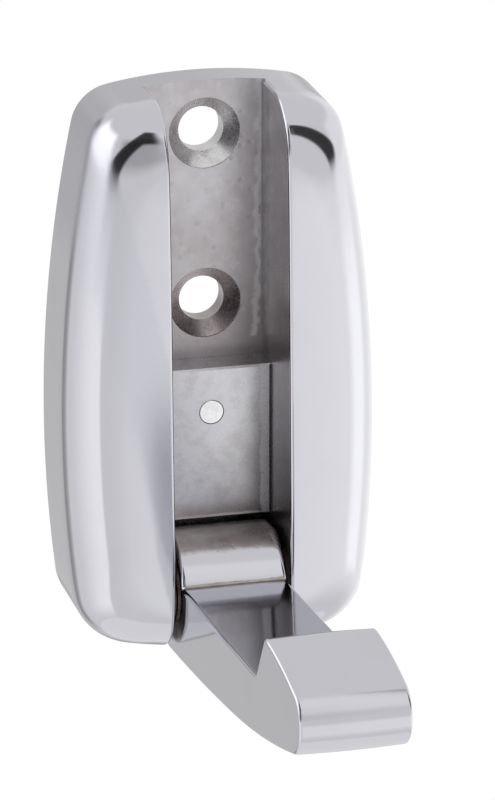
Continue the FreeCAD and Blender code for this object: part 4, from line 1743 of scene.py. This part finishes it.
@dataclass(frozen=True)
class Finish:
    """What every metal finish has: its name, colours, gloss, relief and shades."""

    name: str
    colour: Colour = (0.615, 0.615, 0.655)
    stain_colour: Colour = (0.40, 0.36, 0.37)
    roughness: float = 0.085
    spread: float = 0.06
    relief: float = 0.002
    stain_size: float = 420.0
    stain_cover: float = 0.55
    stain_soft: float = 0.12
    shades: tuple[Shade, ...] = ()

    def look(self, w: Wiring, groups: EffectGroups) -> Look:
        """The finish's colour, roughness and relief in metres.

        Args:
            w: the wiring of the material's tree.
            groups: the shared effects.

        Returns:
            Their sockets.
        """
        raise NotImplementedError

    def material(self, groups: EffectGroups) -> bpy.types.Material:
        """Build the material.

        Args:
            groups: the shared effects.

        Returns:
            The material.
        """
        material, w = new_material(self.name)
        shader = w.add("ShaderNodeBsdfPrincipled", {"Metallic": 1.0})
        w.add("ShaderNodeOutputMaterial", {"Surface": shader.outputs[0]})
        look = self.look(w, groups)
        where = w.place()
        colour, rough = look.colour, look.rough
        for shade in self.shades:
            mask = shade.mask(w, where)
            colour = w.mix(mask, colour, rgba(shade.colour))
            rough = w.maths("MULTIPLY_ADD", mask, shade.rough, rough)
        w.tree.links.new(colour, shader.inputs["Base Color"])
        w.tree.links.new(rough, shader.inputs["Roughness"])
        bump = w.add("ShaderNodeBump", {"Height": look.relief, "Strength": 1.0, "Distance": 1.0})
        w.tree.links.new(bump.outputs[0], shader.inputs["Normal"])
        return material

    @staticmethod
    def effect(wiring: Wiring, groups: EffectGroups, effect: Effect,
               inputs: dict[str, float]) -> bpy.types.NodeOutputs:
        """Place a shared effect with values of its own.

        Args:
            wiring: the wiring of the material's tree.
            groups: the shared effects.
            effect: which one.
            inputs: its values by name.

        Returns:
            The node's outputs.
        """
        node = wiring.add("ShaderNodeGroup", node_tree=groups.trees[effect])
        for label, value in inputs.items():
            node.inputs[label].default_value = value
        return node.outputs

    def stain(self, w: Wiring, groups: EffectGroups) -> bpy.types.NodeOutputs:
        """The finish's own blotches."""
        return self.effect(w, groups, Effect.STAIN, {
            "Size": self.stain_size, "Cover": self.stain_cover, "Softness": self.stain_soft})

    def gloss(self, w: Wiring, fine: object, spread: float) -> bpy.types.NodeSocket:
        """The roughness, taken up by a spread where the specks are."""
        return w.ramp(fine, 0.3, 0.7, self.roughness - spread, self.roughness + spread)

    def raised(self, w: Wiring, height: object) -> bpy.types.NodeSocket:
        """A height in the finish's own depth, in metres."""
        return w.maths("MULTIPLY", height, self.relief * MM)


@dataclass(frozen=True)
class Polished(Finish):
    """Mirror polish over a die casting: faint waves, hairlines and hazy patches."""

    hairlines: float = 0.12
    haze: float = 0.10
    stain_size: float = 110.0
    stain_cover: float = 0.60
    stain_soft: float = 0.14
    stain_tint: float = 0.06
    stain_rough: float = 0.02

    def look(self, w: Wiring, groups: EffectGroups) -> Look:
        """The finish's colour, roughness and relief in metres."""
        marks = self.effect(w, groups, Effect.POLISH, {"Scratch Height": self.hairlines})
        stain = self.stain(w, groups)["Mask"]
        colour = w.mix(w.maths("MULTIPLY", stain, self.stain_tint), rgba(self.colour),
                       rgba(self.stain_colour))
        rough = w.maths("ADD", self.roughness, w.maths("MULTIPLY", marks["Haze"], self.haze))
        rough = w.maths("ADD", rough, w.maths("MULTIPLY", stain, self.stain_rough))
        return Look(colour, rough, self.raised(w, marks["Height"]))


@dataclass(frozen=True)
class AsCast(Finish):
    """The bare casting: pitted, mottled brown and grey, brighter on its high spots."""

    warm: Colour = (0.40, 0.33, 0.31)
    bright: Colour = (0.80, 0.79, 0.80)
    pit_size: float = 900.0
    cover: float = 0.22
    pit_tint: float = 0.5
    mottle: float = 0.45
    flecks: float = 0.35
    fleck_limits: Spot = (0.58, 0.72)
    stain_size: float = 210.0
    stain_cover: float = 0.52
    stain_soft: float = 0.2
    spread: float = 0.03

    def look(self, w: Wiring, groups: EffectGroups) -> Look:
        """The finish's colour, roughness and relief in metres."""
        pits = self.effect(w, groups, Effect.PITS, {"Size": self.pit_size, "Cover": self.cover})
        stain = self.stain(w, groups)
        base = w.mix(w.maths("MULTIPLY", stain["Mask"], self.mottle), rgba(self.colour),
                     rgba(self.warm))
        flecks = w.ramp(stain["Fine"], *self.fleck_limits)
        base = w.mix(w.maths("MULTIPLY", flecks, self.flecks), base, rgba(self.bright))
        base = w.mix(w.maths("MULTIPLY", pits["Mask"], self.pit_tint), base,
                     rgba(self.stain_colour))
        return Look(base, self.gloss(w, stain["Fine"], -self.spread),
                    self.raised(w, pits["Height"]))


@dataclass(frozen=True)
class PartPolished(Finish):
    """A casting polished except on one part, with a ragged limit between the two."""

    polish: Polished = Polished("polish")
    cast: AsCast = AsCast("cast")
    bare: tuple[Shade, ...] = ()

    def look(self, w: Wiring, groups: EffectGroups) -> Look:
        """The finish's colour, roughness and relief in metres."""
        smooth, coarse = self.polish.look(w, groups), self.cast.look(w, groups)
        where = w.place()
        share: object = 0.0
        for part in self.bare:
            share = w.maths("MAXIMUM", share, part.mask(w, where))
        rough, relief = [
            w.maths("MULTIPLY_ADD", share, w.maths("SUBTRACT", there, here), here)
            for here, there in ((smooth.rough, coarse.rough), (smooth.relief, coarse.relief))]
        return Look(w.mix(share, smooth.colour, coarse.colour), rough, relief)


@dataclass(frozen=True)
class Machined(Finish):
    """A cut or ground surface: close tool lines, a little oxide between them."""

    pitch: float = 2600.0
    wobble: float = 3.0
    oxide: float = 0.35

    def look(self, w: Wiring, groups: EffectGroups) -> Look:
        """The finish's colour, roughness and relief in metres."""
        tool = self.effect(w, groups, Effect.TOOLING, {"Pitch": self.pitch, "Wobble": self.wobble})
        stain = self.stain(w, groups)
        colour = w.mix(w.maths("MULTIPLY", stain["Mask"], self.oxide), rgba(self.colour),
                       rgba(self.stain_colour))
        return Look(colour, self.gloss(w, stain["Fine"], self.spread),
                    self.raised(w, tool["Height"]))


# ---------------------------------------------------------------- studio

@dataclass(frozen=True)
class Patch:
    """A lighter or darker part of the tent, by bearing and height in degrees.

    Each pair is where it starts to fade in or out and where it is full or gone.
    """

    gain: float
    left: Spot
    right: Spot
    low: Spot
    high: Spot


@dataclass(frozen=True)
class Tent:
    """A white light tent over the piece, with an arched slit in front that the polish mirrors.

    Bearings are degrees to the right of straight in front, heights degrees above level.
    """

    radius: float = 1.3
    foot: float = -1.09
    rows: int = 26
    columns: int = 48
    level: float = 0.86
    patches: tuple[Patch, ...] = (
        Patch(0.80, (-146, -124), (-62, -78), (-2, 8), (50, 38)),
        Patch(0.22, (70, 84), (158, 140), (-10, -4), (34, 22)),
        Patch(0.28, (-45, 50), (165, 150), (-50, -30), (-1, -10)),
        Patch(-0.34, (-60, -42), (22, -10), (3, 16), (46, 36)),
        Patch(0.16, (-8, 8), (32, 20), (16, 30), (64, 50)),
        Patch(-0.28, (-160, -152), (-134, -144), (-60, -40), (30, 18)),
        Patch(0.36, (-134, -62), (-53, -58), (-60, -40), (3, -4)),
        Patch(-0.24, (-191, -186), (-138, -154), (-60, -40), (30, 18)),
        Patch(-0.36, (146, 162), (191, 186), (-60, -45), (8, -2)),
        Patch(-0.20, (150, 168), (191, 186), (-2, 8), (34, 22)),
        Patch(0.30, (62, 82), (114, 98), (-34, -27), (-6, -12)),
    )
    slit_left: Spot = (63.0, 0.94)
    slit_right: Spot = (73.0, -0.96)
    slit_top: float = 45.0
    slit_half: Spot = (9.5, 13.5)
    slit_ends: tuple[Spot, Spot] = ((-80, -70), (86, 76))
    slit_foot: Spot = (-4.0, 3.0)
    slit_gap: tuple[Spot, Spot] = ((-12, 4), (36, 23))
    slit_dark: float = 0.94
    gap_dark: float = 0.0

    def paint(self) -> bpy.types.Material:
        """The tent's glow, by direction from the piece.

        Returns:
            The material.
        """
        material, w = new_material("tent_cloth")
        where = w.place()
        way = w.add("ShaderNodeVectorMath", {0: where}, operation="NORMALIZE").outputs[0]
        x, y, z = w.add("ShaderNodeSeparateXYZ", {0: way}).outputs
        bearing = w.maths("DEGREES", w.maths("ARCTAN2", x, w.maths("MULTIPLY", y, -1.0)))
        height = w.maths("DEGREES", w.maths("ARCSINE", z))
        level: object = self.level
        for patch in self.patches:
            share = w.maths("MULTIPLY", w.window(bearing, patch.left, patch.right),
                            w.window(height, patch.low, patch.high))
            level = w.maths("MULTIPLY_ADD", share, patch.gain, level)
        level = w.maths("MULTIPLY", level, self.slit(w, bearing, height))
        glow = w.add("ShaderNodeEmission", {"Color": rgba(WHITE), "Strength": level})
        w.add("ShaderNodeOutputMaterial", {"Surface": glow.outputs[0]})
        return material

    def slit(self, w: Wiring, bearing: object, height: object) -> bpy.types.NodeSocket:
        """Share of the glow left by the arched slit.

        Args:
            w: the wiring of the tent's tree.
            bearing: socket of the bearing.
            height: socket of the height.

        Returns:
            The socket of the share.
        """
        lines = [w.maths("MULTIPLY_ADD", bearing, slope, start)
                 for start, slope in (self.slit_left, self.slit_right)]
        middle = w.maths("MINIMUM", w.maths("MINIMUM", *lines), self.slit_top)
        away = w.maths("ABSOLUTE", w.maths("SUBTRACT", height, middle))
        band = w.ramp(away, *self.slit_half, 1.0, 0.0)
        ends = w.maths("MULTIPLY", w.window(bearing, *self.slit_ends),
                       w.ramp(height, *self.slit_foot))
        gap = w.window(bearing, *self.slit_gap)
        depth = w.ramp(gap, 0.0, 1.0, self.slit_dark, self.gap_dark)
        dark = w.maths("MULTIPLY", w.maths("MULTIPLY", band, ends), depth)
        return w.maths("SUBTRACT", 1.0, dark)

    def build(self) -> None:
        """Make the tent; the camera looks through it."""
        spots = []
        low = math.asin(self.foot / self.radius)
        for row in range(self.rows):
            height = low + (math.pi / 2 - low) * row / self.rows
            for column in range(self.columns):
                turn = 2 * math.pi * column / self.columns
                spots.append((self.radius * math.cos(height) * math.cos(turn),
                              self.radius * math.cos(height) * math.sin(turn),
                              self.radius * math.sin(height)))
        spots.append((0.0, 0.0, self.radius))
        faces = []
        for row in range(self.rows):
            for column in range(self.columns):
                here, there = row * self.columns + column, row * self.columns
                there += (column + 1) % self.columns
                if row < self.rows - 1:
                    faces.append((there, here, here + self.columns, there + self.columns))
                else:
                    faces.append((there, here, len(spots) - 1))
        mesh = bpy.data.meshes.new("light_tent")
        mesh.from_pydata(spots, [], faces)
        mesh.materials.append(self.paint())
        tent = add_object("light_tent", mesh)
        tent.visible_camera = False
        tent.visible_shadow = False


@dataclass(frozen=True)
class Studio:
    """White surroundings, pale floor, light tent and the camera."""

    floor_level: float = -1.1
    floor_half: float = 6.0
    floor_white: float = 0.9
    floor_paint: Colour = (0.95, 0.95, 0.95)
    azimuth: float = math.radians(14.5)
    elevation: float = math.radians(19.46)
    distance: float = 0.65
    target: Spot3 = (0.003893, -0.010, -0.004292)
    lens: float = 240.53

    @staticmethod
    def world() -> None:
        """Plain white surroundings."""
        world = bpy.data.worlds.new("studio_world")
        bpy.context.scene.world = world
        world.use_nodes = True
        world.node_tree.nodes.clear()
        wiring = Wiring(world.node_tree)
        glow = wiring.add("ShaderNodeBackground", {"Color": rgba(WHITE), "Strength": 1.0})
        wiring.add("ShaderNodeOutputWorld", {"Surface": glow.outputs[0]})

    def floor(self) -> None:
        """The floor: pale, showing white to the camera except where a shadow falls."""
        half = self.floor_half
        mesh = bpy.data.meshes.new("floor")
        corners = [(x, y, self.floor_level) for x, y in
                   ((-half, -half), (half, -half), (half, half), (-half, half))]
        mesh.from_pydata(corners, [], [(0, 1, 2, 3)])
        material, wiring = new_material("floor_paint")
        path = wiring.add("ShaderNodeLightPath").outputs
        seen = wiring.maths("MAXIMUM", path["Is Camera Ray"],
                            wiring.maths("MAXIMUM", path["Is Glossy Ray"],
                                         path["Is Transmission Ray"]))
        white = wiring.maths("MULTIPLY", seen, self.floor_white)
        paint = wiring.add("ShaderNodeBsdfDiffuse", {"Color": rgba(self.floor_paint)})
        glow = wiring.add("ShaderNodeEmission", {"Color": rgba(WHITE)})
        both = wiring.add("ShaderNodeMixShader", {0: white, 1: paint.outputs[0],
                                                  2: glow.outputs[0]})
        wiring.add("ShaderNodeOutputMaterial", {"Surface": both.outputs[0]})
        mesh.materials.append(material)
        add_object("floor", mesh)

    def camera(self) -> None:
        """The camera: a long lens, from the left and above."""
        data = bpy.data.cameras.new("camera")
        data.lens = self.lens
        data.clip_start, data.clip_end = 0.01, 20.0
        camera = add_object("camera", data)
        a, e = self.azimuth, self.elevation
        way = Vector((math.sin(a) * math.cos(e), math.cos(a) * math.cos(e), -math.sin(e)))
        camera.location = Vector(self.target) - way * self.distance
        camera.rotation_euler = way.to_track_quat("-Z", "Y").to_euler()
        bpy.context.scene.camera = camera

    def build(self) -> None:
        """Set up the studio."""
        self.world()
        self.floor()
        Tent().build()
        self.camera()
        bpy.context.scene.view_settings.view_transform = "Standard"


# ---------------------------------------------------------------- small parts

@dataclass(frozen=True)
class SmallParts:
    """The revolved pieces: hinge pin, both washers and the block's rivet."""

    axis_gap: float = 0.001
    pin_ends: Spot = (-11.18, 16.7)
    pin_radius: float = 2.0
    pin_bevel: float = 0.4
    washer_x: float = -7.15
    washer_spacing: float = 13.8
    washer_bore: float = 2.05
    washer_radius: float = 4.5
    washer_thickness: float = 0.5
    washer_ease: float = 0.08
    rivet_place: Spot3 = (-0.3, 0.0, -5.9)
    rivet_ends: Spot = (-8.78, -0.02)
    rivet_radius: float = 1.5
    rivet_ease: float = 0.06
    tail_radius: float = 2.4

    def pin(self) -> list[Spot]:
        """Half section of the pin along its axis, with bevelled ends."""
        (start, end), radius, bevel = self.pin_ends, self.pin_radius, self.pin_bevel
        return [(self.axis_gap, start), (radius - bevel, start), (radius, start + bevel),
                (radius, end - bevel), (radius - bevel, end), (self.axis_gap, end)]

    def washer(self) -> list[Spot]:
        """Half section of a washer, its outer corners eased."""
        bore, outer = self.washer_bore, self.washer_radius
        thick, ease = self.washer_thickness, self.washer_ease
        return [(bore, 0.0), (outer - ease, 0.0), (outer, ease), (outer, thick - ease),
                (outer - ease, thick), (bore, thick), (bore, 0.0)]

    def rivet(self) -> list[Spot]:
        """Half section of the rivet, from its flush face to its flared tail."""
        (face, back), radius, ease = self.rivet_ends, self.rivet_radius, self.rivet_ease
        flare = self.tail_radius - radius
        return [(self.axis_gap, face), (radius - ease, face), (radius, face + ease),
                (radius, back - flare), (self.tail_radius, back), (self.axis_gap, back)]

    def build(self, pin_steel: bpy.types.Material, bronze: bpy.types.Material) -> list[tuple]:
        """Make the revolved parts.

        Args:
            pin_steel: the material of the pin and the rivet.
            bronze: the material of the washers.

        Returns:
            Each piece with the nodes it stands for and its slot.
        """
        revolve = Revolve()
        pin = revolve.make("pin", self.pin(), 0, (0.0, PIN_Y, PIN_Z), pin_steel)
        washers = revolve.make("washers", self.washer(), 0, (self.washer_x, PIN_Y, PIN_Z),
                               bronze, 2, (self.washer_spacing, 0.0, 0.0))
        rivet = revolve.make("rivet", self.rivet(), 1, self.rivet_place, pin_steel)
        return [(revolve.piece(pin), ("hinge_pin",), "pin_steel"),
                (revolve.piece(washers), ("washer_left", "washer_right"), "washer_bronze"),
                (revolve.piece(rivet), ("block_rivet",), "pin_steel")]


# ---------------------------------------------------------------- this object's own finishes

@dataclass(frozen=True)
class Finishes:
    """The object's own colours and shades, and the materials made with them.

    Most shades are painted: painted shade in the channel, on the upper screw seat and at the spring
    block's lower right, and a painted highlight on the channel floor and along the block's worn
    edges. The arm's shades mark where it stays rough as cast.
    """

    dark: Colour = (0.22, 0.20, 0.21)
    # light: colour of the channel's casting line and the block's worn edges, and of the painted
    # highlight on them
    light: Colour = (0.86, 0.85, 0.86)
    haze: Colour = (0.60, 0.60, 0.65)
    channel: tuple[Spot3, Spot3] = ((-7.3, -40.0, -40.0), (7.3, -2.0, 40.0))

    def polished(self) -> Polished:
        """Housing: mirror polish, hazier in a band beside the channel."""
        return Polished("polished_casting", shades=(
            Shade((1.0, 0.0, 0.25), (-15.0, -12.0), self.haze, 1.0, (-7.2, -6.0), rough=0.16),))

    def cast(self) -> AsCast:
        """Channel: painted shade, darker towards the bottom, on the right wall and on the walls
        along the floor's corner; a light rough casting line on the floor beside the right wall,
        partly a painted highlight.
        """
        return AsCast("bare_casting", colour=(0.56, 0.55, 0.575), warm=(0.36, 0.315, 0.315),
                      roughness=0.30, relief=0.010, flecks=0.10, mottle=0.65, stain_size=130.0,
                      shades=(
            # painted shade: darker towards the bottom of the channel
            Shade((0.45, 0.0, -1.0), (-26.0, 2.0), (0.27, 0.24, 0.24), 0.6, ragged=9.0,
                  box=self.channel),
            # light rough casting line on the floor beside the right wall, partly a painted
            # highlight
            Shade((1.0, 0.0, -0.02), (5.6, 6.3), self.light, 0.5, (6.4, 6.9), 3.0, 0.05,
                  ((0.0, -6.0, 2.0), (7.0, -2.0, 40.0))),
            # painted shade on the channel's right wall
            Shade((1.0, 0.0, 0.0), (7.05, 7.1), (0.26, 0.25, 0.265), 0.75, (8.0, 9.0),
                  box=self.channel),
            # painted shade on the walls along the floor's corner
            Shade((0.0, -1.0, 0.0), (4.95, 5.05), (0.12, 0.11, 0.125), 0.7, (6.8, 8.6), 1.2,
                  box=self.channel)))

    def arm(self) -> PartPolished:
        """Arm: mirror polish, rough as cast behind the knuckle and in its front crease."""
        rough_cast = AsCast("rough_cast", colour=(0.50, 0.47, 0.46), warm=(0.36, 0.30, 0.28),
                            roughness=0.36, relief=0.03, cover=0.3, mottle=0.75,
                            pit_size=2000.0, stain_size=620.0)
        return PartPolished("polished_arm", cast=rough_cast, bare=(
            Shade((0.0, 1.0, 0.0), (-16.75, -15.9), self.dark, 1.0, ragged=0.7,
                  box=((-8.0, -20.0, -32.6), (8.0, 0.0, -10.0))),
            Shade((0.0, -0.3, 1.0), (-19.2, -19.1), self.dark, 0.9, (-18.62, -18.5), 0.35,
                  box=((-6.3, -21.0, -28.0), (6.3, -17.0, -21.0)))))

    def cut(self) -> Machined:
        """Screw seats and bores: bright from the cutter, darker towards the bottom, with painted
        shade on the upper seat's upper left.
        """
        return Machined("cut_seat", colour=(0.76, 0.75, 0.76), roughness=0.26, relief=0.010,
                        pitch=1700.0, oxide=0.2, shades=(
            Shade((0.4, 0.0, -1.0), (-12.0, -3.0), (0.30, 0.25, 0.24), 0.75),
            # painted shade on the upper screw seat's upper left
            Shade((-1.0, 0.0, 1.0), (27.0, 32.0), (0.34, 0.31, 0.31), 0.75)))

    def ground(self) -> Machined:
        """Spring block: ground, with painted shade at its lower right and a painted highlight along
        its worn right and bottom edges.
        """
        return Machined("machined_steel", colour=(0.64, 0.635, 0.66), roughness=0.28,
                        relief=0.0006, pitch=1500.0, oxide=0.3, spread=0.01, shades=(
            # painted shade at the block's lower right
            Shade((0.8, 0.0, -0.6), (5.0, 16.5), (0.22, 0.21, 0.22), 0.8, ragged=3.0),
            # painted highlight along the block's worn right and bottom edges
            Shade((1.0, 0.0, 0.0), (5.75, 5.95), self.light, 0.6, ragged=1.2),
            Shade((0.0, 0.0, -1.0), (19.1, 19.3), self.light, 0.6, ragged=0.5)))

    @staticmethod
    def small() -> tuple[Machined, Machined, Machined]:
        """Pin steel, the washers' darkened bronze, and blued spring steel."""
        return (Machined("pin_steel", colour=(0.86, 0.86, 0.87), roughness=0.2, relief=0.002,
                         oxide=0.15),
                Machined("washer_bronze", colour=(0.13, 0.10, 0.075), roughness=0.3,
                         relief=0.003),
                Machined("spring_steel", colour=(0.30, 0.30, 0.33), roughness=0.25,
                         relief=0.003))


def main() -> None:
    """Build every piece, give it its finish, and set up the studio."""
    logging.basicConfig(level=logging.INFO, format="%(name)s: %(message)s")
    groups, looks = EffectGroups(), Finishes()
    cut, ground = looks.cut().material(groups), looks.ground().material(groups)
    pin_steel, bronze, spring = (look.material(groups) for look in looks.small())
    housing = HousingCasting().build({Zone.POLISHED: looks.polished().material(groups),
                                      Zone.CAST: looks.cast().material(groups),
                                      Zone.MACHINED: cut})
    arm = HookArm().build({Zone.POLISHED: looks.arm().material(groups), Zone.MACHINED: cut})
    pieces = [(housing, ("housing",), "polished_casting", "housing"),
              (arm, ("hook_arm",), "polished_arm", "hook")]
    pieces += [(*row, "housing") for row in SmallParts().build(pin_steel, bronze)]
    for piece, nodes, slot, body in pieces:
        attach(piece, body)
        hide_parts(*nodes)
        log.info("%s: %d faces, stands for %s", piece.name, len(piece.data.polygons),
                 ", ".join(nodes))
    for node, material in (("spring_block", ground), ("detent_spring", spring)):
        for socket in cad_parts[node].material_slots:
            socket.material = material
    Studio().build()


if __name__ == "__main__":
    main()
